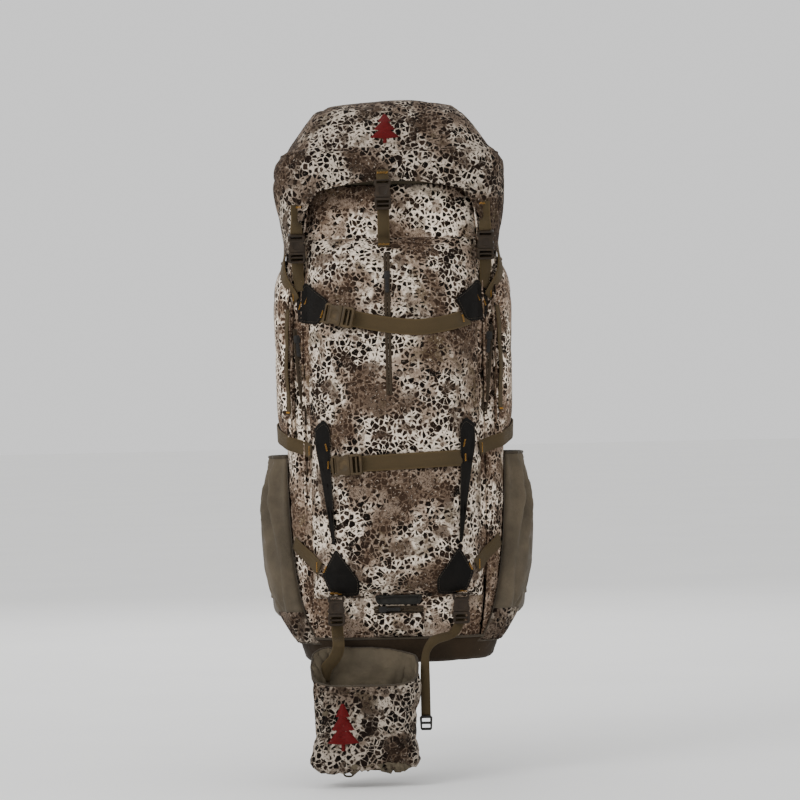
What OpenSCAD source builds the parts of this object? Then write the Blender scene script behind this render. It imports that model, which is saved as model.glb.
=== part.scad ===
// Hunting backpack with a hanging bow boot. Millimetres, +Z up, front towards -Y.
// The origin is the middle of the lumbar pad's lower edge, on the plane that lies on the wearer's back.

/* [Bag] */
// Height of the main bag's walls
bag_h = 590; // [560:5:610]
// Half the width of the main bag at mid height
bag_half_w = 137; // [130:1:140]
// Depth of the main bag at mid height
bag_depth = 196; // [180:1:205]
// Thickness of the padded fabric walls
wall_t = 3; // [2:0.5:4]
// Squareness of the bag's plan outline
corner = 3.2; // [2.6:0.1:3.6]

/* [Pockets] */
// How far the front pocket stands out
front_bulge = 30; // [20:1:34]
// How far the upper side pockets stand out
wing_bulge = 17; // [10:1:18]
// How far the stretch side pockets stand out
bottle_bulge = 31; // [24:1:33]

/* [Lid] */
// Top of the lid
lid_top = 700; // [690:1:710]
// Half the width of the lid at its skirt
lid_half_w = 145; // [143:1:148]

/* [Boot] */
// Half the width of the bow boot
boot_half_w = 67; // [60:1:70]
// Half the depth of the bow boot
boot_half_d = 34; // [28:1:36]
// Level of the boot's floor
boot_floor = -140; // [-150:1:-130]

/* [Webbing] */
// Width of the compression webbing
web_w = 20; // [18:1:22]
// Width of the lid and boot webbing
thin_web_w = 15; // [14:1:16]
// Width of the hip belt webbing
belt_w = 38; // [36:1:40]
// Thickness of webbing
web_t = 1.8; // [1.5:0.1:2]

/* [Hidden] */

camo = "#74675a";
olive = "#5a5242";
webbing_brown = "#52462f";
black_patch = "#1d1a18";
plastic = "#2c231b";
foam_grey = "#4c463c";

back_y = -30;          // outer face of the bag's back wall
gap = 1;               // between sewn pieces
front_mid_z = 297;     // middle of the front pocket
front_half_h = 225;    // half the height of the front pocket
front_half_w = 106;    // half the width of the front pocket
wing_mid_z = 380;      // middle of the upper side pockets
wing_half_h = 118;     // half their height
wing_mid_t = 182;      // their place round the bag, in degrees from the right side
wing_half_t = 34;      // half their spread round the bag
bottle_mid_z = 150;    // fullest level of the stretch pockets
bottle_top = 250;      // their mouth
bottle_low = 14;       // their lower edge
bottle_rear_t = 206;   // their rear edge round the bag
seam_t = 42;           // where the front and side panels meet round the bag
collar_top = 622;      // rim of the drawstring collar
skirt_top = 630;       // where the lid's skirt meets the stuffed lid
lid_front_y = -232;    // front of the lid
lid_rear_y = -23;      // rear of the lid
boot_x = -44;          // middle of the boot
boot_y = -248;
hinge_boot_z = 14;     // level at which the boot swings
hinge_lid_y = -24;     // line about which the lid opens
hinge_lid_z = 590;
strap_plane_y = -235;  // plane of the lid's front strap
buckle_t = 9.6;        // thickness of a side-release buckle

// ---- vectors and lists ----
function unit(v) = v / norm(v);
function mirrored(rows) = [for (row = rows) [for (p = row) [-p.x, p.y, p.z]]];
function flipped(rows) = [for (row = rows) [for (i = [len(row) - 1:-1:0]) row[i]]];
function rounded(c, n) = sign(c) * pow(abs(c), 2 / n);
function hump(u, n) = abs(u) < 1 ? pow(1 - pow(abs(u), n), 0.7) : 0;
function steps(a, b, n) = [for (i = [0:n]) a + (b - a) * i / n];

// ---- the bag's outer surface ----
function bag_half(z) = bag_half_w * (1 - 0.13 * pow(abs(2 * z / bag_h - 1), 5));
function bag_deep(z) = bag_depth * (1 - 0.12 * pow(abs(2 * z / bag_h - 1), 4));
function on_bag(t, z, out) =
  let (d = bag_deep(z) / 2)
  [(bag_half(z) + out) * rounded(cos(t), corner), back_y - d - (d + out) * rounded(sin(t), corner), z];
function bag_front(x, z) =
  let (d = bag_deep(z) / 2, r = min(0.998, abs(x) / bag_half(z)))
  back_y - d - d * pow(1 - pow(r, corner), 1 / corner);
function front_rise(x, z) =
  front_bulge * hump(x / front_half_w, 4) * hump((z - front_mid_z) / front_half_h, 6);
function face(x, z) = bag_front(x, z) - gap - 2 - front_rise(x, z);
function wing_rise(t, z) =
  wing_bulge * hump((t - wing_mid_t) / wing_half_t, 4) * hump((z - wing_mid_z) / wing_half_h, 6);

// ---- solids from rows of points ----
// A chain of rings with flat ends, or a closed tube when loop is true.
module loft(rings, loop = false) {
  n = len(rings[0]);
  m = len(rings);
  ends = loop ? [] : [[for (i = [n - 1:-1:0]) i], [for (i = [0:n - 1]) (m - 1) * n + i]];
  sides = [
    for (j = [0:m - (loop ? 1 : 2)], i = [0:n - 1])
      let (k = (j + 1) % m, l = (i + 1) % n)
      each [[j * n + i, j * n + l, k * n + l], [j * n + i, k * n + l, k * n + i]]
  ];
  polyhedron(points = [for (r = rings) each r], faces = concat(ends, sides));
}

// The space between two grids of points with the same rows and columns.
module slab(outer, inner) {
  rings = [for (j = [0:len(outer) - 1]) concat(outer[j], [for (i = [len(inner[j]) - 1:-1:0]) inner[j][i]])];
  n = len(outer[0]);
  m = len(outer);
  w = 2 * n;
  caps = [
    for (i = [0:n - 2])
      each [
        [i + 1, i, w - 1 - i], [i + 1, w - 1 - i, w - 2 - i],
        [(m - 1) * w + i, (m - 1) * w + i + 1, (m - 1) * w + w - 2 - i],
        [(m - 1) * w + i, (m - 1) * w + w - 2 - i, (m - 1) * w + w - 1 - i]
      ]
  ];
  sides = [
    for (j = [0:m - 2], i = [0:w - 1])
      let (l = (i + 1) % w)
      each [[j * w + i, j * w + l, (j + 1) * w + l], [j * w + i, (j + 1) * w + l, (j + 1) * w + i]]
  ];
  polyhedron(points = [for (r = rings) each r], faces = concat(caps, sides));
}

// A flat strap through points; half is the vector from its middle line to one edge.
module strap(points, half, t = web_t) {
  n = len(points);
  outer = [
    for (i = [0:n - 1])
      let (d = points[min(n - 1, i + 1)] - points[max(0, i - 1)], out = unit(cross(d, half)) * t)
      [points[i] + half + out, points[i] - half + out]
  ];
  inner = [for (p = points) [p + half, p - half]];
  slab(inner, outer);
}

// Puts a child with its x along dir and its z along out at point p.
module placed(p, dir, out) {
  x = unit(dir);
  y = unit(cross(out, x));
  z = cross(x, y);
  multmatrix([[x.x, y.x, z.x, p.x], [x.y, y.y, z.y, p.y], [x.z, y.z, z.z, p.z], [0, 0, 0, 1]]) children();
}

module mirrored_pair() {
  children();
  mirror([1, 0, 0]) children();
}

// ---- hardware ----
module plate(l, w, t, c = 2) {
  linear_extrude(t)
    polygon([
      [0, c - w / 2], [c, -w / 2], [l - c, -w / 2], [l, c - w / 2],
      [l, w / 2 - c], [l - c, w / 2], [c, w / 2], [0, w / 2 - c]
    ]);
}

socket_l = 22;  // length of a socket
clip_l = 15;    // length of a clip's body
prong_l = 12;   // length of a clip's prongs
clip_gap = 1.2; // between a socket's mouth and its clip's body
buckle_lip = 3; // plastic beside the webbing

// Female half of a side-release buckle, mouth at x 0 facing +x.
module socket(w) {
  difference() {
    translate([-socket_l, 0, 0]) plate(socket_l, w + 2 * buckle_lip, buckle_t);
    translate([-prong_l - 3, -w / 2, 1.6]) cube([prong_l + 4, w, buckle_t - 3.2]);
    for (s = [-1, 1]) translate([-12, s * w / 2 - 4, 1.6]) cube([7, 8, buckle_t - 3.2]);
    translate([-socket_l + 2, -w / 2, -1]) cube([3, w, buckle_t + 2]);
  }
}

// Male half, with its prongs inside the socket.
module clip(w) {
  difference() {
    translate([clip_gap, 0, 0.6]) plate(clip_l - clip_gap, w + 2 * buckle_lip, buckle_t - 1.2);
    for (x = [4, 9.5]) translate([x, -w / 2, -1]) cube([3, w, buckle_t + 2]);
  }
  for (y = [-w / 2 + 1.2, -1.5, w / 2 - 4.2])
    translate([-prong_l, y, buckle_t / 2 - 1.3]) cube([prong_l + clip_gap + 1, 3, 2.6]);
}

// Ladder lock: a frame with two bars.
module ladder_lock(w) {
  difference() {
    plate(18, w + 2 * buckle_lip, 5);
    for (x = [3, 10.5]) translate([x, -w / 2, -1]) cube([4.5, w, 7]);
  }
}

// Zip slider with its pull tab hanging towards -x, lying on the plane z 0.
module zip_pull() {
  translate([-5, 0, 0]) plate(10, 8, 3, 1);
  translate([-22, 0, 1]) plate(20, 5, 1.5, 1);
}

// ---- the bag ----
wall_levels = [0, 12, 40, 90, 160, 230, 300, 370, 430, 480, 530, 565, bag_h];

module bag_wall(from, to, n) {
  outer = [for (z = wall_levels) [for (t = steps(from, to, n)) on_bag(t, z, 0)]];
  inner = [for (z = wall_levels) [for (t = steps(from, to, n)) on_bag(t, z, -wall_t)]];
  slab(outer, inner);
}

module front_panel() { color(camo) bag_wall(seam_t, 180 - seam_t, 16); }
module side_panels() { color(camo) mirrored_pair() bag_wall(-seam_t, seam_t, 10); }
module back_wall() { color(olive) bag_wall(180 + seam_t, 360 - seam_t, 16); }

module bottom_panel() {
  outline = [for (t = steps(0, 352.5, 47)) on_bag(t, 0, 0)];
  color(olive) loft([for (z = [-3, -0.05]) [for (p = outline) [p.x, p.y, z]]]);
}

// The hard-wearing base, a shallow cup round the bag's foot.
module base_panel() {
  function ring(z, out) = [for (t = steps(0, 352.5, 47)) let (p = on_bag(t, max(z, 0), out)) [p.x, p.y, z]];
  outside = [ring(-12, -14), ring(-9, -4), ring(-3, 2), ring(20, gap + 2.5)];
  color(olive) loft(concat(outside, [ring(20, gap), ring(-4, gap)]));
}

module collar() {
  function ring(z, out) = [for (t = steps(0, 350, 35)) let (p = on_bag(t, bag_h, out)) [p.x, p.y, z]];
  outside = [ring(bag_h + 0.3, -0.5), ring(606, -8), ring(collar_top, -20)];
  inside = [ring(collar_top, -23), ring(606, -11), ring(bag_h + 0.3, -3)];
  color(olive) loft(concat(outside, inside), true);
}

cord_y = -192;
lock_y = -204;
lock_z = 614;
cord_gap = 1.5;
module collar_drawcord() {
  function ring(t) = let (p = on_bag(t, bag_h, -11.5), c = [p.x, p.y, lock_z])
    [for (a = steps(300, 0, 5)) c + 1.4 * [cos(a) * cos(t), -cos(a) * sin(t), sin(a)]];
  color(black_patch) {
    loft([for (t = steps(0, 350, 35)) ring(t)], true);
    for (s = [-1, 1])
      translate([s * cord_gap, cord_y - 2, lock_z]) rotate([90, 0, 0]) cylinder(h = 32, r = 1.2, $fn = 24);
  }
}

module cord_lock() {
  color(plastic) translate([0, lock_y, lock_z]) difference() {
    translate([0, 0, -8]) cylinder(h = 14, r = 6.5, $fn = 48);
    translate([0, 0, -6]) cylinder(h = 20, r = 4.6, $fn = 48);
    translate([-3.2, -10, -2]) cube([6.4, 20, 4]);
  }
}
module cord_lock_button() {
  color(plastic) translate([0, lock_y, lock_z]) difference() {
    translate([0, 0, -3.2]) cylinder(h = 13.2, r = 4.4, $fn = 48);
    translate([-3, -10, -1.8]) cube([6, 20, 6]);
  }
}

module hydration_sleeve() {
  color(olive) translate([-75, back_y - 16, 60]) cube([150, 2, 360]);
}

// ---- pockets ----
module front_pocket() {
  xs = steps(-front_half_w + 1, front_half_w - 1, 16);
  zs = steps(front_mid_z - front_half_h + 1, front_mid_z + front_half_h - 1, 16);
  outer = [for (z = zs) [for (x = xs) [x, face(x, z), z]]];
  inner = [for (z = zs) [for (x = xs) [x, bag_front(x, z) - gap, z]]];
  color(camo) slab(inner, outer);
}

stow_half_w = 32;
module stow_pocket() {
  zs = steps(24, 52, 4);
  xs = steps(-stow_half_w, stow_half_w, 8);
  rise = function(x, z) 9 * hump(x / (stow_half_w + 2), 4) * hump((z - 38) / 16, 4);
  color(camo) slab(
    [for (z = zs) [for (x = xs) [x, bag_front(x, z) - gap, z]]],
    [for (z = zs) [for (x = xs) [x, bag_front(x, z) - gap - 2 - rise(x, z), z]]]
  );
}

module wing_pocket() {
  zs = steps(wing_mid_z - wing_half_h + 1, wing_mid_z + wing_half_h - 1, 12);
  ts = steps(wing_mid_t - wing_half_t + 1, wing_mid_t + wing_half_t - 1, 12);
  slab(
    [for (z = zs) [for (t = ts) on_bag(t, z, gap + 2 + wing_rise(t, z))]],
    [for (z = zs) [for (t = ts) on_bag(t, z, gap)]]
  );
}
module left_wing_pocket() { color(camo) wing_pocket(); }
module right_wing_pocket() { color(camo) mirror([1, 0, 0]) wing_pocket(); }

// Front edge of the stretch pocket round the bag: far round at the foot, on the side at the mouth.
function bottle_front_t(z) = 134 + 34 * pow(max(0, z - bottle_low) / (bottle_top - bottle_low), 0.6);
function bottle_rise(u, z) =
  bottle_bulge * (1 - pow(abs(z - bottle_mid_z) / 140, 2.5)) * pow(max(0, sin(180 * u)), 0.6);
module bottle_pocket() {
  zs = [bottle_low, 24, 40, 64, 100, 150, 200, bottle_top];
  row = function(z, out) [
    for (u = steps(0, 1, 12))
      on_bag(bottle_front_t(z) + u * (bottle_rear_t - bottle_front_t(z)), z, gap + out + bottle_rise(u, z))
  ];
  slab([for (z = zs) row(z, 2 + 3.5)], [for (z = zs) row(z, 3.5)]);
}
module left_bottle_pocket() { color(olive) bottle_pocket(); }
module right_bottle_pocket() { color(olive) mirror([1, 0, 0]) bottle_pocket(); }

// ---- zips ----
zip_out = 1;         // gap between a pocket and its zip tape
front_zip_x = -6;
front_zip_z = [500, 330];
side_zip_top = [122, 409];
side_zip_low = [111, 298];
stow_zip_z = 57;

function face_path(points, out) = [for (p = points) [p.x, face(p.x, p.y) - out, p.y]];
function line2(a, b, n) = [for (f = steps(0, 1, n)) a + (b - a) * f];
function split(a, b) = let (n = ceil(norm(b - a) / 14)) [for (i = [0:n - 1]) a + (b - a) * i / n];

module zip_tapes() {
  color(webbing_brown) {
    strap(
      face_path(line2([front_zip_x, front_zip_z[0]], [front_zip_x, front_zip_z[1]], 8), zip_out),
      [4, 0, 0],
      1.2
    );
    mirrored_pair() strap(face_path(line2(side_zip_top, side_zip_low, 8), zip_out), [4, 0, 0], 1.2);
    strap(face_path(line2([28, stow_zip_z], [-28, stow_zip_z], 4), zip_out), [0, 0, 4], 1.2);
  }
}

pull_out = zip_out + 1.2 + 0.5;
front_pull_z = [474, 394];  // where the front slider starts and ends
module front_zip_pull() {
  from = [front_zip_x, face(front_zip_x, front_pull_z[0]) - pull_out - 2, front_pull_z[0]];
  to = [front_zip_x, face(front_zip_x, front_pull_z[1]) - pull_out - 2, front_pull_z[1]];
  color(plastic) placed(from, from - to, [0, -1, 0]) zip_pull();
}
module side_zip_pull() {
  p = side_zip_top + (side_zip_low - side_zip_top) * 0.1;
  run = side_zip_top - side_zip_low;
  placed([p.x, face(p.x, p.y) - pull_out - 5, p.y], [run.x, 0, run.y], [0.5, -1, 0]) zip_pull();
}
module right_zip_pull() { color(plastic) side_zip_pull(); }
module left_zip_pull() { color(plastic) mirror([1, 0, 0]) side_zip_pull(); }
module stow_zip_pull() {
  color(plastic)
    placed([-20, face(-20, stow_zip_z) - pull_out - 1, stow_zip_z], [-1, 0, 0], [0, -1, 0]) zip_pull();
}

module label_patch() {
  color(black_patch) translate([0, face(0, 74) - 3, 64]) rotate([90, 0, 0]) linear_extrude(1.6)
    polygon([[-26, -1.5], [26, -1.5], [30, 12], [-30, 12]]);
}

// ---- reinforcement patches and straps on the front ----
patch_t = 1;
upper_patch = [[79, 444], [93, 415], [118, 419], [121, 442], [115, 461], [108, 470], [98, 459]];
middle_patch = [[78, 140], [82, 140], [95, 235], [100, 262], [100, 288], [88, 297], [81, 286], [81, 240]];
lower_patch = [[49, 76], [67, 75], [86, 80], [95, 103], [85, 121], [77, 136], [48, 95]];

// A flat patch pressed into the shape of the front: its outline is filled by a fan from its middle.
patch_gap = 1.7;
module patch(corners) {
  n = len(corners);
  outline = [for (i = [0:n - 1]) each split(corners[i], corners[(i + 1) % n])];
  middle = [for (k = [0:1]) [for (p = outline) p[k]] * [for (p = outline) 1] / len(outline)];
  grow = [0.02, 0.35, 0.7, 1];
  ring = function(f, out) [
    for (p = outline) let (q = middle + (p - middle) * f) [q.x, face(q.x, q.y) - out, q.y]
  ];
  mirrored_pair()
    loft([for (f = grow) ring(f, patch_gap + patch_t), for (i = [3:-1:0]) ring(grow[i], patch_gap)]);
}
module strap_patches() {
  color(black_patch) {
    patch(upper_patch);
    patch(middle_patch);
    patch(lower_patch);
  }
}

on_patch = patch_gap + patch_t + 0.6;
gear_t = 157;   // place of the upright gear webbing round the bag
// Side webbing stands clear of the highest cloth under its width.
function over_wing(t, z) =
  on_bag(180 - t, z, 5 + max([for (a = [-3, 0, 3], b = [-web_w / 2, 0, web_w / 2]) wing_rise(t + a, z + b)]));
module side_straps() {
  color(webbing_brown) mirrored_pair() {
    strap([for (p = line2([168, 486], [146, 448], 8)) over_wing(p.x, p.y)], [0, 0, web_w / 2]);
    strap([for (p = line2([212, 292], [143, 262], 18)) over_wing(p.x, p.y)], [0, 0, web_w / 2]);
    strap([for (p = line2([139, 134], [130, 114], 3)) on_bag(180 - p.x, p.y, 4.5)], [0, 0, web_w / 2]);
    strap([for (z = steps(432, 306, 7)) on_bag(180 - gear_t, z, 6.8 + wing_rise(gear_t, z))], [-4, -7, 0]);
  }
}

// Cross straps run from the socket on one side to the patch on the other.
upper_path = [[-64, 424], [-44, 420], [-20, 415], [6, 411], [30, 409], [54, 411], [74, 415], [90, 420]];
lower_path = [[-58, 240], [-38, 241], [-14, 242], [12, 243], [36, 244], [60, 245], [84, 246]];
module cross_straps() {
  color(webbing_brown) {
    strap(face_path(upper_path, on_patch + web_t + 0.4), [0, 0, -web_w / 2]);
    strap(face_path(lower_path, on_patch + web_t + 0.4), [0, 0, -web_w / 2]);
  }
}

buckle_out = on_patch + web_t + 2.6;
function on_cross(p) = [p.x, face(p.x, p.y) - buckle_out, p.y];
function cross_frame(a, b) = [on_cross(a), on_cross(b)];
upper_mouth = cross_frame([-62, 424], [-44, 420]);
lower_mouth = cross_frame([-56, 240], [-38, 241]);
module at_mouth(m) { placed(m[0], m[1] - m[0], [0, -1, 0]) children(); }

module upper_cross_clip() { color(plastic) at_mouth(upper_mouth) clip(web_w); }
module lower_cross_clip() { color(plastic) at_mouth(lower_mouth) clip(web_w); }

// ---- lid straps, clips and their webbing ----
front_strap_x = -9;
front_mouth = [[front_strap_x, strap_plane_y - 1, 572], [front_strap_x, strap_plane_y - 1, 560]];
side_mouth_z = 510;
side_plane_y = -219;
// A side strap leans so that its clip leaves the socket along the lid's arc.
side_lean = (hinge_lid_z - side_mouth_z) / (hinge_lid_y - side_plane_y);
side_mouth = [[118, side_plane_y, side_mouth_z], [118, side_plane_y + 12 * side_lean, side_mouth_z - 12]];
boot_mouth = [[78, face(78, 62) - 12, 54], [78, face(78, 62) - 12, 42]];
module at_right(m) { placed(m[0], m[1] - m[0], [0, -1, -side_lean]) children(); }
module at_left(m) { mirror([1, 0, 0]) at_right(m) children(); }
module at_front(m, side = 1) { placed([side * m[0].x, m[0].y, m[0].z], m[1] - m[0], [0, -1, 0]) children(); }

module lid_buckles() {
  color(plastic) {
    at_front(front_mouth) socket(thin_web_w);
    at_right(side_mouth) socket(thin_web_w);
    at_left(side_mouth) socket(thin_web_w);
  }
}
module lid_front_clip() { color(plastic) at_front(front_mouth) clip(thin_web_w); }
module lid_right_clip() { color(plastic) at_right(side_mouth) clip(thin_web_w); }
module lid_left_clip() { color(plastic) at_left(side_mouth) clip(thin_web_w); }

module bag_buckles() {
  color(plastic) {
    at_mouth(upper_mouth) socket(web_w);
    at_mouth(lower_mouth) socket(web_w);
    for (s = [-1, 1]) at_front(boot_mouth, s) socket(thin_web_w);
  }
}
module boot_right_clip() { color(plastic) at_front(boot_mouth, 1) clip(thin_web_w); }
module boot_left_clip() { color(plastic) at_front(boot_mouth, -1) clip(thin_web_w); }

module clip_webbing() {
  half = [thin_web_w / 2, 0, 0];
  y = boot_mouth[0].y + 1;
  x = front_strap_x;
  side = function(drop) [118, side_plane_y + 1.4 + drop * side_lean, side_mouth_z + 1 - drop];
  color(webbing_brown) {
    strap([[x, strap_plane_y, 573], [x, strap_plane_y, 530], [x, face(x, 512) - 3, 510]], -half, web_t);
    mirrored_pair() strap([side(0), side(34), [118, face(118, 462) - 6.5, 464]], -half, web_t);
    strap([[-78, y, 54], [-77, y, 25], [-74, boot_y + 8, hinge_boot_z + 5]], -half, web_t);
    strap([[78, y, 54], [74, y, 36], [66, y, 25], [38, boot_y + 8, hinge_boot_z + 5]], -half, web_t);
  }
}

// ---- lid ----
function lid_ring(z, half, front, rear, n = 4) =
  let (cy = (front + rear) / 2, d = (rear - front) / 2)
  [for (t = steps(0, 352.5, 47)) [half * rounded(cos(t), n), cy - d * rounded(sin(t), n), z]];
module lid_shell() {
  color(camo) loft([
    lid_ring(skirt_top + 0.3, lid_half_w - 9, lid_front_y + 1, lid_rear_y),
    lid_ring(655, lid_half_w - 24, lid_front_y + 7, lid_rear_y - 3),
    lid_ring(675, lid_half_w - 38, lid_front_y + 18, lid_rear_y - 9),
    lid_ring(689, lid_half_w - 50, lid_front_y + 34, lid_rear_y - 20),
    lid_ring(lid_top - 2, lid_half_w - 68, lid_front_y + 58, lid_rear_y - 44),
    lid_ring(lid_top, lid_half_w - 90, lid_front_y + 80, lid_rear_y - 66)
  ]);
}

// Lower edge of the skirt round the lid: high at the front and rear, low at the ears.
function ear(t) = let (a = t > 180 ? 360 - t : t) min(a, 180 - a);
function front_low(s) = s > 67 ? 582 + 12 * (s - 67) / 23 : 506 + 76 * pow(max(0, s - 31) / 36, 1.1);
function rear_low(s) = s > 50 ? 600 : 506 + 94 * pow(s / 50, 1.5);
function skirt_low(t) = t > 180 ? rear_low(ear(t)) : front_low(ear(t));
module lid_skirt() {
  function ring(f, inset) = [
    for (t = steps(0, 352.5, 47))
      let (
        z = skirt_top + (skirt_low(t) - skirt_top) * f,
        half = lid_half_w - inset - 9 * max(0, (z - 619) / 11),
        d = (lid_rear_y - lid_front_y) / 2 - inset
      )
      [half * rounded(cos(t), 4), (lid_front_y + lid_rear_y) / 2 - d * rounded(sin(t), 4), z]
  ];
  fs = [0, 0.12, 0.5, 1];
  color(camo) loft([for (i = [3:-1:0]) ring(fs[i], 0), for (f = fs) ring(f, wall_t)], true);
}

lid_zip_z = 652;
function lid_back(x) = lid_rear_y - 2.6 - 101 * (1 - pow(1 - pow(abs(x) / 121, 4), 0.25));
module lid_zip() {
  color(webbing_brown) strap([for (x = steps(-62, 62, 8)) [x, lid_back(x) + 1.9, lid_zip_z]], [0, 0, 4], 1.2);
}
module lid_zip_pull() {
  color(plastic) placed([-40, lid_rear_y + 0.4, lid_zip_z], [-1, 0, 0], [0, 1, 0]) zip_pull();
}

// Webbing sewn to the lid: a tab above each socket and two straps behind.
module lid_straps() {
  half = [thin_web_w / 2, 0, 0];
  y = lid_front_y - 0.5;
  color(webbing_brown) {
    strap([
      [front_strap_x, y, 614], [front_strap_x, y - 1, 600], [front_strap_x, strap_plane_y - 3, 594.5]
    ], half, web_t);
    mirrored_pair() strap([
      [118, side_plane_y - 3.6, 572], [118, side_plane_y - 3.8, 548], [118, side_plane_y - 12, 532.6]
    ], half, web_t);
    mirrored_pair()
      strap([[35, lid_rear_y + 0.5, 624], [35, lid_rear_y + 0.5, 602]], -[web_w / 2, 0, 0], web_t);
  }
}

// ---- boot ----
function boot_rim(t) = -12 - 22 * sin(t);
function boot_ring(f, inset) = [
  for (t = steps(0, 350, 35))
    let (
      z = boot_floor + inset + (boot_rim(t) - boot_floor - inset) * f,
      k = 1 - 0.2 * pow(1 - min(1, f / 0.25), 2),
      across = (boot_half_w * k - inset) * rounded(cos(t), 3.5),
      deep = (boot_half_d * k - inset) * rounded(sin(t), 3.5)
    )
    [boot_x + across, boot_y - deep, z]
];
module boot_shell() {
  fs = [0, 0.06, 0.14, 0.25, 0.5, 0.75, 1];
  color(camo) loft([for (f = fs) boot_ring(f, 0), for (i = [6:-1:0]) boot_ring(fs[i], wall_t)]);
}

// Webbing that moves with the boot, with the tail's ladder lock and the loop under the floor.
lock_x = boot_x + boot_half_w + 8;
module boot_straps() {
  y = boot_y + 7;
  color(webbing_brown) {
    strap([[lock_x + 6, y, hinge_boot_z - 4], [lock_x, y, -20], [lock_x, y, -73]], [-6, 0, 0], web_t);
    strap([[-73, y, hinge_boot_z - 4], [-80, y, -4], [-92, y, -10]], [-thin_web_w / 2, 0, 0], web_t);
    translate([-73, boot_y - 1.5, boot_floor - 7.8]) cube([13, 3, 7.4]);
  }
}
module boot_lock() {
  color(plastic) translate([lock_x, boot_y + 8.2, -74]) rotate([90, 90, 0]) ladder_lock(10);
}

// ---- frame and back ----
module frame_sheet() { color(black_patch) translate([-104, back_y + 0.5, 30]) cube([208, 2, 552]); }
module frame_stays() {
  color("silver") mirrored_pair() translate([48, back_y + 3, 34]) cube([25, 3, 540]);
}
module pad_block(x, w, z, h, y0, y1) {
  translate([x, y1, z]) rotate([90, 0, 0]) linear_extrude(y1 - y0)
    polygon([[8, 0], [w - 8, 0], [w, 8], [w, h - 8], [w - 8, h], [8, h], [0, h - 8], [0, 8]]);
}
pad_y = back_y + 6.5;
module back_pads() {
  color(foam_grey) {
    mirrored_pair() pad_block(14, 82, 156, 314, pad_y, -6);
    pad_block(-72, 144, -8, 150, pad_y, 0);
  }
}

shoulder_path = [
  [46, -20, 492], [47, -4, 505], [48, 16, 517], [52, 42, 526], [58, 68, 518], [66, 86, 490],
  [74, 92, 450], [84, 90, 400], [95, 80, 340], [104, 62, 285], [108, 48, 255]
];
shoulder_half = [30, 30, 31, 32, 32, 32, 31, 30, 28, 26, 23];
module shoulder_strap() {
  n = len(shoulder_path);
  along = function(i) shoulder_path[min(n - 1, i + 1)] - shoulder_path[max(0, i - 1)];
  out = function(i) 13 * unit(cross([1, 0, 0], along(i)));
  across = [-1, -0.5, 0, 0.5, 1];
  edge = function(i, s) shoulder_path[i] + [shoulder_half[i] * s, 0, 0];
  slab(
    [for (i = [0:n - 1]) [for (s = across) edge(i, s) - out(i) * (1 - 0.25 * s * s)]],
    [for (i = [0:n - 1]) [for (s = across) edge(i, s)]]
  );
}
module right_shoulder_strap() { color(foam_grey) shoulder_strap(); }
module left_shoulder_strap() { color(foam_grey) mirror([1, 0, 0]) shoulder_strap(); }

// Load lifters, lower straps, the sternum rails and the straps that hold the lid's rear.
sternum_z = 430;
rail_x = 78;
rail_y = 93;
module harness_webbing() {
  color(webbing_brown) mirrored_pair() {
    strap([[56, 47, 537], [58, 30, 547], [60, 0, 562], [62, -22, 573]], [-10, 0, 0], web_t);
    strap([[112, 33, 235], [114, 14, 215], [117, -20, 178], [117, -44, 152]], [-10, 0, 0], web_t);
    strap([[rail_x, rail_y, 476], [rail_x, rail_y, 386]], [-7.5, 0, 0], 1.4);
    strap([[35, -26.8, 588.5], [35, -26.8, 548]], [-web_w / 2, 0, 0], web_t);
  }
}
module ladder_locks() {
  color(plastic) mirrored_pair() {
    placed([56, 50, 527], [0, 1, -0.31], [0, 0.31, 1]) ladder_lock(web_w);
    placed([108, 46, 253], [0, -0.65, -0.9], [0, 1, -0.7]) ladder_lock(web_w);
  }
}
module haul_loop() {
  color(webbing_brown) strap(
    [for (a = steps(0, 180, 12)) [-24 * cos(a), -26 + 30 * sin(a), 556 + 14 * sin(a)]], [0, 0, 8], 3);
}

// ---- hip belt ----
hip_path = [[77, 2], [108, 4], [138, 14], [160, 40], [170, 80], [166, 120], [150, 155], [128, 182]];
hip_low = [34, 32, 32, 34, 38, 43, 48, 52];
hip_high = [128, 130, 130, 126, 120, 112, 104, 98];
module hip_wing() {
  n = len(hip_path);
  along = function(i) hip_path[min(n - 1, i + 1)] - hip_path[max(0, i - 1)];
  inward = function(i) 14 * unit([-along(i).y, along(i).x, 0]);
  at = function(i, f) [hip_path[i].x, hip_path[i].y, hip_low[i] + (hip_high[i] - hip_low[i]) * f];
  fs = [0, 0.15, 0.5, 0.85, 1];
  slab(
    [for (i = [0:n - 1]) [for (f = fs) at(i, f)]],
    [for (i = [0:n - 1]) [for (f = fs) at(i, f) + inward(i) * (f == 0 || f == 1 ? 0.6 : 1)]]
  );
}
module right_hip_wing() { color(foam_grey) hip_wing(); }
module left_hip_wing() { color(foam_grey) mirror([1, 0, 0]) hip_wing(); }

belt_z = 75;
belt_path = [[134, 176], [112, 200], [86, 218], [60, 230], [40, 236]];
module belt_webbing() {
  strap([for (p = belt_path) [p.x + 2, p.y + 3, belt_z]], [0, 0, -belt_w / 2], 2);
}
belt_mouth = [[38, 244, belt_z], [58, 237.5, belt_z]];
module right_hip_webbing() { color(webbing_brown) belt_webbing(); }
module left_hip_webbing() { color(webbing_brown) mirror([1, 0, 0]) belt_webbing(); }
module hip_buckle() {
  color(plastic) mirror([1, 0, 0])
    placed([50, 240, belt_z], [-20, 6.5, 0], [0, 1, 0]) translate([20, 0, 0.5]) socket(belt_w);
}
module hip_clip() {
  color(plastic) placed(belt_mouth[0], belt_mouth[1] - belt_mouth[0], [0, 1, 0]) clip(belt_w);
}

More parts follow.
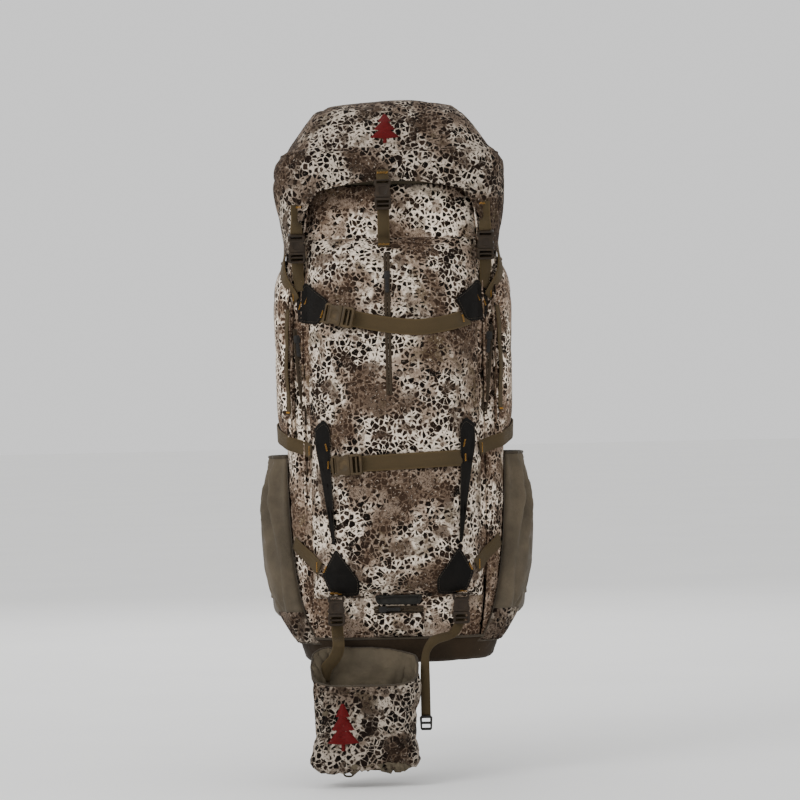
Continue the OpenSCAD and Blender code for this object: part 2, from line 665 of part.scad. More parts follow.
// ---- sternum strap ----
sternum_y = rail_y + 6;
module sternum_strap() {
  y = sternum_y;
  color(webbing_brown) {
    strap([[-84, y, sternum_z], [-21, y, sternum_z]], [0, 0, 9], web_t);
    strap([[1, y, sternum_z], [84, y, sternum_z]], [0, 0, 9], web_t);
  }
}
module sternum_hardware() {
  color(plastic) {
    mirrored_pair() translate([rail_x - 12, rail_y + 2, sternum_z - 7]) cube([24, 1.9, 14]);
    placed([0, sternum_y + 0.4, sternum_z], [1, 0, 0], [0, 1, 0]) socket(thin_web_w);
  }
}
module sternum_clip() {
  color(plastic) placed([0, sternum_y + 0.4, sternum_z], [1, 0, 0], [0, 1, 0]) clip(thin_web_w);
}

front_panel();
side_panels();
back_wall();
bottom_panel();
base_panel();
collar();
collar_drawcord();
cord_lock();
cord_lock_button();
front_pocket();
stow_pocket();
zip_tapes();
label_patch();
front_zip_pull();
left_zip_pull();
right_zip_pull();
stow_zip_pull();
left_bottle_pocket();
right_bottle_pocket();
left_wing_pocket();
right_wing_pocket();
strap_patches();
side_straps();
cross_straps();
bag_buckles();
clip_webbing();
frame_sheet();
frame_stays();
back_pads();
hydration_sleeve();
left_shoulder_strap();
right_shoulder_strap();
harness_webbing();
ladder_locks();
haul_loop();
lid_shell();
lid_skirt();
lid_zip();
lid_zip_pull();
lid_straps();
lid_buckles();
lid_front_clip();
lid_left_clip();
lid_right_clip();
upper_cross_clip();
lower_cross_clip();
boot_left_clip();
boot_right_clip();
boot_shell();
boot_straps();
boot_lock();
left_hip_wing();
right_hip_wing();
left_hip_webbing();
right_hip_webbing();
hip_buckle();
hip_clip();
sternum_strap();
sternum_hardware();
sternum_clip();
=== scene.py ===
import math

import bmesh
import bpy
import numpy as np
from mathutils import Matrix, Vector
from mathutils.bvhtree import BVHTree


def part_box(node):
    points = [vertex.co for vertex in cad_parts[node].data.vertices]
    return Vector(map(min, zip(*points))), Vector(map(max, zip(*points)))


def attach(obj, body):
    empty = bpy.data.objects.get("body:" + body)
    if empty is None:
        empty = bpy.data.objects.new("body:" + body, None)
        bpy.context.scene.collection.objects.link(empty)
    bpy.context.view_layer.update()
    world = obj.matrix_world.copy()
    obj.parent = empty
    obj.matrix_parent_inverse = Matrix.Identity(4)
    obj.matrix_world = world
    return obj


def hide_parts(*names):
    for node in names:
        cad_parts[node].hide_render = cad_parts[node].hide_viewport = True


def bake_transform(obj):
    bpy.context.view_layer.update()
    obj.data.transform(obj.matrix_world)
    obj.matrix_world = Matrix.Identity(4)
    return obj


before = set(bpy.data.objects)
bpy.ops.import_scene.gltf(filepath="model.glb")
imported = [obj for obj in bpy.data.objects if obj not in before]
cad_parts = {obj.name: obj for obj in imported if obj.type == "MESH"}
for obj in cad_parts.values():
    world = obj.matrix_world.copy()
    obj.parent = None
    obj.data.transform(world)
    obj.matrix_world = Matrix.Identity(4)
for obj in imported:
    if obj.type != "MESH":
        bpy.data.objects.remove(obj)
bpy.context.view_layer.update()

MM = 0.001
PACK = "pack"
HANDS = ((-1, "left"), (1, "right"))
SIDES = (-1, 1)
ACROSS, BACK, UP = np.eye(3)
DOWN, FRONT = -UP, -BACK


def cad(node):
    """A CAD node's lowest and highest corners."""
    return [np.array(corner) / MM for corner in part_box(node)]


# ---- the bag's surface, from the frame's boxes ----
BAG_LOW, BAG_HIGH = cad("front_panel")
BAG_H = BAG_HIGH[2]
BAG_HALF = cad("side_panels")[1][0]
BACK_Y = cad("back_wall")[1][1]
BAG_DEPTH = BACK_Y - BAG_LOW[1]
BAG_MID_Y = BACK_Y - BAG_DEPTH / 2
CORNER = 3.2  # how square the bag's section is
SEAM_T = 42   # degrees round the bag from its side to its upright seams
GAP = 1
POCKET_LOW, POCKET_HIGH = cad("front_pocket")
POCKET_HALF_W = POCKET_HIGH[0] + 1
POCKET_MID_Z = (POCKET_LOW[2] + POCKET_HIGH[2]) / 2
POCKET_HALF_H = (POCKET_HIGH[2] - POCKET_LOW[2]) / 2 + 1
POCKET_BULGE = 30
WING_LOW, WING_HIGH = cad("right_wing_pocket")
WING_MID_Z = (WING_LOW[2] + WING_HIGH[2]) / 2
WING_HALF_H = (WING_HIGH[2] - WING_LOW[2]) / 2 + 1
WING_T, WING_HALF_T, WING_BULGE = 182, 34, 17
BOTTLE_LOW, BOTTLE_TOP = (corner[2] for corner in cad("left_bottle_pocket"))
BOTTLE_BULGE, BOTTLE_MID_Z, BOTTLE_REAR_T = 31, 150, 206
CORNER_TOP_Z = 56     # the print goes up to here at the bag's lower corners
STRAP_Z = (412, 243)  # where the cross straps press
SKIRT_LOW, SKIRT_HIGH = cad("lid_skirt")
LID_FRONT, LID_REAR = SKIRT_LOW[1], SKIRT_HIGH[1]
LID_HALF, _, LID_SEAM_Z = SKIRT_HIGH
LID_TOP = cad("lid_shell")[1][2]
LID_MID_Y = -128
BOOT_LOW, BOOT_HIGH = cad("boot_shell")
BOOT_X, BOOT_Y, _ = (BOOT_LOW + BOOT_HIGH) / 2
BOOT_HALF_W, BOOT_HALF_D, _ = (BOOT_HIGH - BOOT_LOW) / 2


def rounded(c, n):
    """A cosine or sine bent so that a circle becomes a rounded square; n = 2 leaves it round."""
    return np.sign(c) * np.abs(c) ** (2 / n)


def hump(u, n):
    """1 in the middle of u = -1 to 1 and 0 at its ends, flatter for a higher n."""
    return np.maximum(0, 1 - np.abs(u) ** n) ** 0.7


def smooth(a, b, x):
    """Eases from 0 at a to 1 at b."""
    t = np.clip((x - a) / (b - a), 0, 1)
    return t * t * (3 - 2 * t)


def bell(x, width):
    return np.exp(-((x / width) ** 2))


def xyz(x, y, z):
    return np.stack(np.broadcast_arrays(x, y, z), -1)


def unit(v):
    v = np.asarray(v, float)
    return v / np.linalg.norm(v, axis=-1, keepdims=True)


def spread(a, b, step):
    return np.linspace(a, b, max(2, int(round(abs(b - a) / step)) + 1))


def around(count):
    return np.linspace(0, 360, count, endpoint=False)


def travelled(p):
    """How far along a path each of its points is."""
    return np.concatenate([[0], np.cumsum(np.linalg.norm(np.diff(p, axis=0), axis=1))])


def between(at, stops, points):
    """The points read off at other stops."""
    return np.stack([np.interp(at, stops, column) for column in np.asarray(points, float).T], -1)


def mirror(s):
    return np.array([s, 1, 1])


def inside(z, y=-120):
    """A point inside the bag, from which outward is told."""
    return np.array([0, y, z])


def bag_half(z):
    return BAG_HALF * (1 - 0.13 * np.abs(2 * z / BAG_H - 1) ** 5)


def bag_deep(z):
    return BAG_DEPTH * (1 - 0.12 * np.abs(2 * z / BAG_H - 1) ** 4)


def on_bag(t, z, out):
    """A point round the bag: t in degrees from the right side past the front, out from its wall."""
    t, z, out = np.broadcast_arrays(*(np.asarray(a, float) for a in (t, z, out)))
    a, d = np.radians(t), bag_deep(z) / 2
    x = (bag_half(z) + out) * rounded(np.cos(a), CORNER)
    return xyz(x, BACK_Y - d - (d + out) * rounded(np.sin(a), CORNER), z)


def level(t, z, out, at=BAG_H):
    """A ring round the bag moved to another height."""
    p = on_bag(t, at, out)
    p[:, 2] = z
    return p


def bag_front(x, z):
    d = bag_deep(z) / 2
    r = np.minimum(0.998, np.abs(x) / bag_half(z))
    return BACK_Y - d - d * (1 - r**CORNER) ** (1 / CORNER)


def face(x, z):
    rise = POCKET_BULGE * hump(x / POCKET_HALF_W, 4) * hump((z - POCKET_MID_Z) / POCKET_HALF_H, 6)
    return bag_front(x, z) - GAP - 2 - rise


def face_at(x, z, out):
    return np.array([x, float(face(x, z)) - out, z])


# ---- noise for folds ----
def waves(p, size, seed, stretch=(1, 1, 1), n=9):
    """Smooth seeded noise of about -1 to 1, with features of the given size."""
    rng = np.random.default_rng(seed)
    k = unit(rng.normal(size=(n, 3)))
    k *= (math.pi / size) * rng.uniform(0.6, 1.5, (n, 1)) / np.array(stretch)
    phase = rng.uniform(0, 2 * math.pi, n)
    return np.sin(p @ k.T + phase).sum(-1) / math.sqrt(n)


def creases(p, size, seed, stretch=(1, 1, 1), sharp=3):
    """Narrow ridges, as where cloth folds, from 0 to 1."""
    bent = p + np.stack([waves(p, size * 1.7, seed + i, stretch) for i in (1, 2, 3)], -1) * size * 0.5
    return np.maximum(0, 1 - np.abs(waves(bent, size, seed, stretch))) ** sharp


# ---- meshes ----
def merged(parts):
    """One list of verts and faces from several."""
    verts, faces, base = [], [], 0
    for v, f, *_ in parts:
        verts.append(np.asarray(v, float))
        faces += [tuple(int(i) + base for i in g) for g in f]
        base += len(v)
    return np.concatenate(verts), faces


def add(name, parts, material, body, replaces=()):
    """A piece from one part or a list of them, each its verts, its faces and, for webbing, its uvs in metres."""
    parts = parts if isinstance(parts, list) else [parts]
    verts, faces = merged(parts)
    mesh = bpy.data.meshes.new(name)
    mesh.from_pydata((verts * MM).tolist(), [], faces)
    if len(parts[0]) == 3:
        loops = np.zeros(len(mesh.loops), int)
        mesh.loops.foreach_get("vertex_index", loops)
        uvs = np.concatenate([uv for _, _, uv in parts])
        mesh.uv_layers.new(name="UVMap").data.foreach_set("uv", uvs[loops].astype(np.float32).ravel())
    mesh.validate()
    fix = bmesh.new()
    fix.from_mesh(mesh)
    bmesh.ops.recalc_face_normals(fix, faces=fix.faces)
    fix.to_mesh(mesh)
    fix.free()
    mesh.shade_smooth()
    obj = bpy.data.objects.new(name, mesh)
    bpy.context.scene.collection.objects.link(obj)
    mesh.materials.append(material)
    if body is not None:
        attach(obj, body)
    if replaces:
        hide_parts(*replaces)
    return obj


def hardware(name, parts, body, nodes, material=None):
    """A piece of moulded plastic, with sharp edges."""
    obj = add(name, parts, material or PLASTIC, body, nodes)
    obj.data.set_sharp_from_angle(angle=math.radians(32))


def grid_faces(rows, cols, closed):
    out = []
    for j in range(rows - 1):
        for i in range(cols if closed else cols - 1):
            a, b = j * cols + i, j * cols + (i + 1) % cols
            out.append((a, b, b + cols, a + cols))
    return out


def normals_of(p, closed, middle):
    """Unit normals of a grid of points, away from the middle on the whole."""
    du = np.roll(p, -1, 1) - np.roll(p, 1, 1) if closed else np.gradient(p, axis=1)
    n = np.cross(du, np.gradient(p, axis=0))
    n /= np.maximum(np.linalg.norm(n, axis=-1, keepdims=True), 1e-9)
    return n * np.sign((n * (p - middle)).sum())


def wrinkle(p, closed, middle, amount, seed, size=45, stretch=(1, 1, 1)):
    """Moves a grid along its normals by lumps and creases."""
    move = waves(p, size * 1.5, seed, stretch) - 1.6 * creases(p, size, seed + 5, stretch)
    return p + normals_of(p, closed, middle) * (move * amount)[..., None]


def sheets(outer, inner, closed=False):
    """A solid between two grids of points."""
    rows, cols = outer.shape[:2]
    size = rows * cols
    faces = grid_faces(rows, cols, closed)
    faces += [tuple(i + size for i in f[::-1]) for f in faces]
    rims = [list(range(cols)), list(range(size - cols, size))]
    if closed:
        rims = [rim + rim[:1] for rim in rims]
    else:
        rims += [list(range(0, size, cols)), list(range(cols - 1, size, cols))]
    faces += [(a, b, b + size, a + size) for rim in rims for a, b in zip(rim, rim[1:])]
    return np.concatenate([outer.reshape(-1, 3), inner.reshape(-1, 3)]), faces


def shell(outer, thick, middle, closed=False):
    """A sheet with thickness, inwards from a grid of points."""
    return sheets(outer, outer - normals_of(outer, closed, middle) * thick, closed)


def disc(outline, mid_y, z, first, last, count):
    """Rings that grow from the middle of an outline to its edge."""
    x, y, _ = outline.T
    return np.array([xyz(x * k, mid_y + (y - mid_y) * k, z) for k in np.linspace(first, last, count)])


def loft(rings, looped=False):
    """A solid over rings of points, capped at its ends or looped back to its first ring."""
    rings = np.asarray(rings)
    rows, cols = rings.shape[:2]
    last = (rows - 1) * cols
    faces = grid_faces(rows, cols, True)
    if looped:
        faces += [(last + i, last + (i + 1) % cols, (i + 1) % cols, i) for i in range(cols)]
    else:
        faces += [tuple(range(cols)), tuple(range(last + cols - 1, last - 1, -1))]
    return rings.reshape(-1, 3), faces


def tube(path, radius, sides=8, looped=False):
    """A round tube along points."""
    path = np.asarray(path, float)
    d = unit((np.roll(path, -1, 0) - np.roll(path, 1, 0)) if looped else np.gradient(path, axis=0))
    side = np.cross(d[0], UP if abs(d[0][2]) < 0.9 else ACROSS)
    turns = np.arange(sides) * 2 * math.pi / sides
    rings = []
    for place, ahead in zip(path, d):
        side = unit(side - ahead * (side @ ahead))
        ring = np.outer(np.cos(turns), side) + np.outer(np.sin(turns), np.cross(ahead, side))
        rings.append(place + radius * ring)
    return loft(rings, looped)


def catmull(points, step):
    """A smooth curve through points, with a point about every step."""
    p = np.asarray(points, float)
    ends = np.concatenate([[2 * p[0] - p[1]], p, [2 * p[-1] - p[-2]]])
    out = []
    for k in range(1, len(ends) - 2):
        a, b, c, d = ends[k - 1:k + 3]
        count = max(1, int(np.linalg.norm(c - b) / step))
        for t in np.arange(count) / count:
            cubic = (2 * a - 5 * b + 4 * c - d) * t**2 + (3 * b - a - 3 * c + d) * t**3
            out.append(0.5 * (2 * b + (c - a) * t + cubic))
    out.append(ends[-2])
    return np.array(out)


def eased(points, rounds):
    """Points with their bends softened; the two ends stay."""
    p = np.array(points, float)
    for _ in range(rounds):
        p[1:-1] = (p[:-2] + 2 * p[1:-1] + p[2:]) / 4
    return p


def strap(path, across, width, thick=1.8, step=4, lift=0.0):
    """Webbing along a path. across is its width's direction, one or per point."""
    raw = np.asarray(path, float)
    p = catmull(raw, step)
    across = np.broadcast_to(np.asarray(across, float), raw.shape)
    a = unit(between(np.linspace(0, len(raw) - 1, len(p)), np.arange(len(raw)), across))
    out = unit(np.cross(np.gradient(p, axis=0), a))
    h, t = width / 2, thick / 2
    # The section is flat with round edges, and a hair thicker along its selvedges.
    half = [(h, 0), (h - 0.35 * thick, t), (h - 1.6, t * 1.08), (h - 2.4, t)]
    section = [*((-s, q) for s, q in half), (0, t), *half[::-1]]
    section += [(h - 0.35 * thick, -t), (0, -t), (0.35 * thick - h, -t)]
    rows = np.stack([p + a * s + out * (q + lift) for s, q in section], 1)
    shape = rows.shape[:2]
    uv = xyz([s for s, _ in section], travelled(p)[:, None], np.zeros(shape))[..., :2]
    return *loft(rows), uv.reshape(-1, 2) * MM


def lay(path, outward, width, thick=1.8):
    """Webbing along a path whose face looks outward."""
    p = np.asarray(path, float)
    return strap(p, np.cross(np.gradient(p, axis=0), outward), width, thick)


# ---- rays onto finished cloth ----
class Skin:
    """The surfaces that straps, patches and zips lie on."""

    def __init__(self, *objects):
        verts, faces = [], []
        for obj in objects:
            base = len(verts)
            verts += [tuple(v.co / MM) for v in obj.data.vertices]
            faces += [[i + base for i in p.vertices] for p in obj.data.polygons]
        self.tree = BVHTree.FromPolygons(verts, faces)

    def hit(self, start, direction):
        place = self.tree.ray_cast(Vector(start), Vector(direction))[0]
        return None if place is None else np.array(place)

    def front(self, x, z, out, default=None):
        """The point out in front of the cloth at x, z."""
        place = self.hit((x, -600, z), FRONT * -1)
        y = default if place is None else place[1]
        return np.array([x, (y if y is not None else face(x, z)) - out, z])

    def side(self, t, z, out):
        """The point out from the cloth, seen from outside at angle t round the bag."""
        far, near = on_bag(t, z, 120), on_bag(t, z, -20)
        way = unit(near - far)
        place = self.hit(far, way)
        return (near if place is None else place) - way * out


# ---- materials ----
def srgb(r, g, b):
    """Linear colour from 0-255 sRGB."""
    return *((c / 255 / 12.92) if c <= 10 else ((c / 255 + 0.055) / 1.055) ** 2.4 for c in (r, g, b)), 1.0


def shade(rgb, k, lift=0):
    """An sRGB colour made lighter or darker, as linear."""
    return srgb(*(min(255, c * k + lift) for c in rgb))


class Nodes:
    """A short way to write a node tree."""

    def __init__(self, name):
        self.material = bpy.data.materials.new(name)
        self.material.use_nodes = True
        self.tree = self.material.node_tree
        self.tree.nodes.clear()
        out = self.tree.nodes.new("ShaderNodeOutputMaterial")
        self.shader = self.tree.nodes.new("ShaderNodeBsdfPrincipled")
        self.tree.links.new(self.shader.outputs[0], out.inputs[0])

    def feed(self, socket, value):
        if isinstance(value, bpy.types.NodeSocket):
            self.tree.links.new(value, socket)
        elif value is not None:
            socket.default_value = value

    def node(self, kind, inputs=(), out=0, **settings):
        n = self.tree.nodes.new(kind)
        for key, value in settings.items():
            setattr(n, key, value)
        for key, value in dict(inputs).items():
            self.feed(n.inputs[key], value)
        return n.outputs[out]

    def math(self, op, a, b=0.0, c=0.0):
        return self.node("ShaderNodeMath", {0: a, 1: b, 2: c}, operation=op)

    def mix(self, factor, a, b, blend="MIX"):
        n = self.tree.nodes.new("ShaderNodeMix")
        n.data_type = "RGBA"
        n.blend_type = blend
        self.feed(n.inputs[0], factor)
        self.feed(n.inputs[6], a)
        self.feed(n.inputs[7], b)
        return n.outputs[2]

    def range(self, value, low, high, to_low=0.0, to_high=1.0):
        n = self.tree.nodes.new("ShaderNodeMapRange")
        n.interpolation_type = "SMOOTHSTEP"
        for key, v in ((0, value), (1, low), (2, high), (3, to_low), (4, to_high)):
            self.feed(n.inputs[key], v)
        return n.outputs[0]

    def noise(self, vector, scale, detail=2.0, rough=0.5):
        inputs = {"Vector": vector, "Scale": scale, "Detail": detail, "Roughness": rough}
        return self.node("ShaderNodeTexNoise", inputs)

    def voronoi(self, vector, scale, feature, out):
        return self.node("ShaderNodeTexVoronoi", {"Vector": vector, "Scale": scale}, out, feature=feature)

    def place(self, shift=(0, 0, 0), scale=(1, 1, 1)):
        """Object coordinates, shifted so that neighbouring panels don't share one print."""
        coords = self.node("ShaderNodeTexCoord", out=3)
        return self.node("ShaderNodeMapping", {0: coords, 1: shift, 3: scale})

    def bump(self, height, distance, strength=1.0, normal=None):
        inputs = {"Height": height, "Distance": distance, "Strength": strength, "Normal": normal}
        return self.node("ShaderNodeBump", inputs)

    def finish(self, color, rough, normal=None, sheen=0.0, specular=0.5, metallic=0.0):
        s = self.shader.inputs
        self.feed(s["Base Color"], color)
        self.feed(s["Roughness"], rough)
        self.feed(s["Normal"], normal)
        self.feed(s["Sheen Weight"], sheen)
        self.feed(s["Sheen Roughness"], 0.5)
        self.feed(s["Specular IOR Level"], specular)
        self.feed(s["Metallic"], metallic)
        return self.material


def cloth_bump(n, place, weave=1100.0, fold=0.0006):
    """A fine twill over soft creases."""
    twill = {"Vector": place, "Scale": weave / 6.28, "Distortion": 2.0, "Detail": 1.0}
    fine = n.node("ShaderNodeTexWave", twill, 1, bands_direction="DIAGONAL")
    soft = n.noise(place, 55.0, 3.0, 0.55)
    normal = n.bump(soft, fold * 6, 0.5)
    return n.bump(fine, 0.0002, 0.35, normal)


def camo_material(name, shift, painted_light_tone=1.0, cell=152.0):
    """A scale-like print: near-black scales on a cream net in places, brown scales on taupe in others.
    painted_light_tone makes the whole print lighter or darker as painted light or shade.
    """
    n = Nodes(name)
    place = n.place(shift)
    jitter = n.node("ShaderNodeTexNoise", {"Vector": place, "Scale": 70.0, "Detail": 1.0}, 1)
    push = n.node("ShaderNodeVectorMath", {0: jitter, 3: 0.006}, operation="SCALE")
    warped = n.node("ShaderNodeVectorMath", {0: place, 1: push}, operation="ADD")
    edge = n.voronoi(warped, cell, "DISTANCE_TO_EDGE", 0)
    pick = n.node("ShaderNodeSeparateColor", {0: n.voronoi(warped, cell, "F1", 1)}, 0)
    broad = n.noise(place, 15.0, 3.0, 0.6)
    patchy = n.noise(n.place((shift[0] + 3.1, shift[1] - 1.7, shift[2] + 0.9)), 24.0, 3.0, 0.62)
    third = n.noise(n.place((shift[0] - 2.3, shift[1] + 4.4, shift[2] - 1.9)), 33.0, 3.0, 0.6)
    speck = n.noise(place, 330.0, 3.0, 0.75)

    cream, light, taupe = srgb(238, 223, 205), srgb(156, 138, 122), srgb(104, 87, 73)
    brown, dark, black = srgb(68, 52, 41), srgb(36, 25, 18), srgb(10, 6, 3)
    olive = srgb(76, 65, 43)

    # The net between scales: cream, through greys and taupe, to brown.
    net = n.mix(n.range(broad, 0.44, 0.53), cream, light)
    net = n.mix(n.range(broad, 0.53, 0.60), net, taupe)
    net = n.mix(n.range(third, 0.53, 0.60, 0.0, 0.75), net, taupe)
    net = n.mix(n.range(patchy, 0.58, 0.65, 0.0, 0.6), net, olive)
    net = n.mix(n.range(speck, 0.50, 0.62, 0.0, 0.7), net, brown)
    # How much of each cell its dark scale fills, from most of it to little.
    uneven = n.math("MULTIPLY", n.math("SUBTRACT", pick, 0.5), 0.22)
    fill = n.math("ADD", n.range(patchy, 0.36, 0.62, 0.03, 0.155), uneven)
    scale_mask = n.range(edge, fill, n.math("ADD", fill, 0.06))
    ink = n.mix(n.range(third, 0.45, 0.55), black, dark)
    ink = n.mix(n.range(broad, 0.52, 0.60, 0.0, 0.65), ink, brown)
    ink = n.mix(n.range(pick, 0.74, 0.80, 0.0, 0.7), ink, brown)
    color = n.mix(scale_mask, net, ink)
    # Blotches where the scales fade into one colour, and flecks.
    color = n.mix(n.range(third, 0.58, 0.64, 0.0, 0.6), color, n.mix(n.range(speck, 0.46, 0.54), dark, taupe))
    color = n.mix(n.range(third, 0.41, 0.36, 0.0, 0.7), color, n.mix(n.range(speck, 0.45, 0.54), brown, light))
    color = n.mix(n.range(speck, 0.56, 0.64, 0.0, 0.7), color, dark)
    color = n.mix(n.range(speck, 0.40, 0.33, 0.0, 0.45), color, cream)
    # Painted light and shade: the whole print is made lighter or darker by how the light falls on this part of the
    # pack.
    color = n.mix(1.0, color, (painted_light_tone, painted_light_tone * 0.985, painted_light_tone * 0.965, 1.0), "MULTIPLY")
    return n.finish(color, 0.9, cloth_bump(n, place), specular=0.1)


def plain_cloth(name, rgb, worn=0.12, weave=1500.0, rough=0.85, sheen=0.08, fold=0.0006, specular=0.3):
    """Plain woven or knitted cloth, a little uneven in colour."""
    n = Nodes(name)
    place = n.place()
    cloudy = n.noise(place, 14.0, 4.0, 0.6)
    grain = n.noise(place, 900.0, 2.0, 0.6)
    color = n.mix(n.range(cloudy, 0.35, 0.65), shade(rgb, 1 - worn), shade(rgb, 1 + worn))
    color = n.mix(n.range(grain, 0.35, 0.65, 0.0, 0.5), color, srgb(*rgb))
    return n.finish(color, rough, cloth_bump(n, place, weave, fold), sheen=sheen, specular=specular)


def mesh_cloth(name, rgb):
    """Spacer mesh: small round holes in a knit."""
    n = Nodes(name)
    place = n.place()
    knit = n.range(n.voronoi(place, 560.0, "F1", 0), 0.2, 0.5)
    # Painted shade: the knit's holes are darker, as shade inside them.
    color = n.mix(knit, shade(rgb, 0.6), srgb(*rgb))
    color = n.mix(n.range(n.noise(place, 18.0, 3.0), 0.3, 0.7, 0.0, 0.3), color, shade(rgb, 0.7))
    return n.finish(color, 0.9, n.bump(knit, 0.0005, 0.5), sheen=0.05, specular=0.15)


def webbing_material(name, rgb, width):
    """Woven webbing: a herringbone across, ribs along, and lighter worn selvedges. UVs are metres."""
    n = Nodes(name)
    uv = n.node("ShaderNodeUVMap", uv_map="UVMap")
    u, v = (n.node("ShaderNodeSeparateXYZ", {0: uv}, k) for k in (0, 1))
    chevron = n.math("ABSOLUTE", n.math("SUBTRACT", n.math("MODULO", n.math("ADD", u, 1.0), 0.004), 0.002))
    picks = n.math("SINE", n.math("MULTIPLY", n.math("ADD", v, chevron), 2 * math.pi / 0.0013))
    ribs = n.math("SINE", n.math("MULTIPLY", u, 2 * math.pi / 0.0011))
    height = n.math("ADD", n.math("MULTIPLY", picks, 0.6), n.math("MULTIPLY", ribs, 0.4))
    edge = n.range(n.math("ABSOLUTE", u), width * MM * 0.36, width * MM * 0.5)
    cloudy = n.noise(n.place(), 30.0, 3.0)
    # Painted shade: the low parts of the weave are darker, as shade in its grooves.
    color = n.mix(n.range(height, -0.7, 0.9), shade(rgb, 0.72), srgb(*rgb))
    color = n.mix(n.math("MULTIPLY", edge, 0.45), color, shade(rgb, 1.22))
    color = n.mix(n.range(cloudy, 0.4, 0.75, 0.0, 0.35), color, shade(rgb, 0.72))
    return n.finish(color, 0.78, n.bump(height, 0.00025, 0.8), sheen=0.02, specular=0.2)


def plastic_material(name, rgb, rough=0.42):
    """Moulded plastic with a fine spark-eroded grain and lighter rubbed patches."""
    n = Nodes(name)
    place = n.place()
    grain = n.noise(place, 1600.0, 2.0, 0.7)
    scuff = n.noise(place, 90.0, 4.0, 0.65)
    color = n.mix(n.range(scuff, 0.45, 0.75, 0.0, 0.5), srgb(*rgb), shade(rgb, 1.5, 8))
    roughness = n.range(scuff, 0.3, 0.7, rough - 0.08, rough + 0.12)
    return n.finish(color, roughness, n.bump(grain, 0.00012, 0.5), specular=0.22)


def metal_material(name, rgb):
    n = Nodes(name)
    brushed = n.noise(n.place(scale=(1, 1, 0.02)), 1200.0, 2.0)
    color = n.mix(n.range(brushed, 0.35, 0.65, 0.0, 0.4), srgb(*rgb), shade(rgb, 0.7))
    return n.finish(color, n.range(brushed, 0.3, 0.7, 0.28, 0.42), n.bump(brushed, 0.0001, 0.3), metallic=1.0)


def thread_material(name, rgb):
    n = Nodes(name)
    twist = n.noise(n.place(), 2500.0, 1.0)
    # Painted shade: the low parts of the twist are darker, as shade between the fibres.
    color = n.mix(n.range(twist, 0.3, 0.7), shade(rgb, 0.65), srgb(*rgb))
    return n.finish(color, 0.5, n.bump(twist, 0.0001, 0.5), specular=0.25)


# Lit and shaded copies of one camo print: each tone factor paints light or shade. The lid, front and boot are darker
# as painted shade, the sides and upper side pockets lighter as painted light.
CAMO_LID = camo_material("camo_lid", (0.31, 0.12, 0.4), 0.56)
CAMO_FRONT = camo_material("camo_front", (1.7, 0.4, 2.3), 0.85)
CAMO_SIDE = camo_material("camo_side", (2.9, 1.1, 0.7), 1.12)
CAMO_WING = camo_material("camo_wing", (4.2, 2.0, 1.6), 1.3)
CAMO_BOOT = camo_material("camo_boot", (0.9, 3.3, 1.2), 0.44)
OLIVE = plain_cloth("olive_cloth", (92, 83, 66))
LINING = plain_cloth("olive_lining", (84, 75, 60), fold=0.0009, sheen=0.0)
STRETCH = plain_cloth("stretch_cloth", (80, 71, 57), 0.16, 2200.0, 0.85, 0.03, 0.0011)
BASE_CLOTH = plain_cloth("base_cloth", (43, 34, 24), 0.16, 900.0, 0.8, 0.03, specular=0.1)
BINDING = plain_cloth("binding", (58, 50, 39), 0.15, 1800.0)
PATCH = plain_cloth("patch_cloth", (19, 17, 15), 0.25, 900.0, 0.75, 0.0, specular=0.1)
MESH = mesh_cloth("spacer_mesh", (92, 84, 72))
PAD_CLOTH = plain_cloth("pad_cloth", (74, 66, 54), 0.12, 1100.0)
WEBBING = webbing_material("webbing_20", (84, 69, 44), 20)
WEBBING_THIN = webbing_material("webbing_15", (80, 66, 42), 15)
WEBBING_BELT = webbing_material("webbing_38", (82, 70, 51), 38)
TAPE = webbing_material("zip_tape", (70, 58, 43), 8)
PLASTIC = plastic_material("buckle_plastic", (37, 28, 18), 0.5)
PLASTIC_OLIVE = plastic_material("olive_plastic", (62, 50, 32), 0.5)
PLASTIC_BLACK = plastic_material("black_plastic", (30, 28, 26), 0.5)
RUBBER = plastic_material("label_rubber", (34, 33, 30), 0.6)
FRAME_SHEET = plastic_material("frame_plastic", (38, 37, 35), 0.55)
ALLOY = metal_material("stay_alloy", (176, 176, 178))
THREAD = thread_material("bartack_thread", (204, 146, 52))
RED_THREAD = thread_material("tree_thread", (112, 7, 10))
CORD = plain_cloth("cord_cloth", (36, 34, 30), 0.25, 3000.0, 0.7)
STITCH = thread_material("seam_thread", (74, 64, 50))


# ---- camera, floor and light ----
VIEW_WIDTH = 1.0           # metres across the picture, at the pack's front
VIEW_MID = (0.007, 0.319)  # what the middle of the picture shows
DISTANCE = 4.2
LEAN = math.radians(1.23)
FLOOR_Z = cad("boot_straps")[0][2] * MM - 0.012


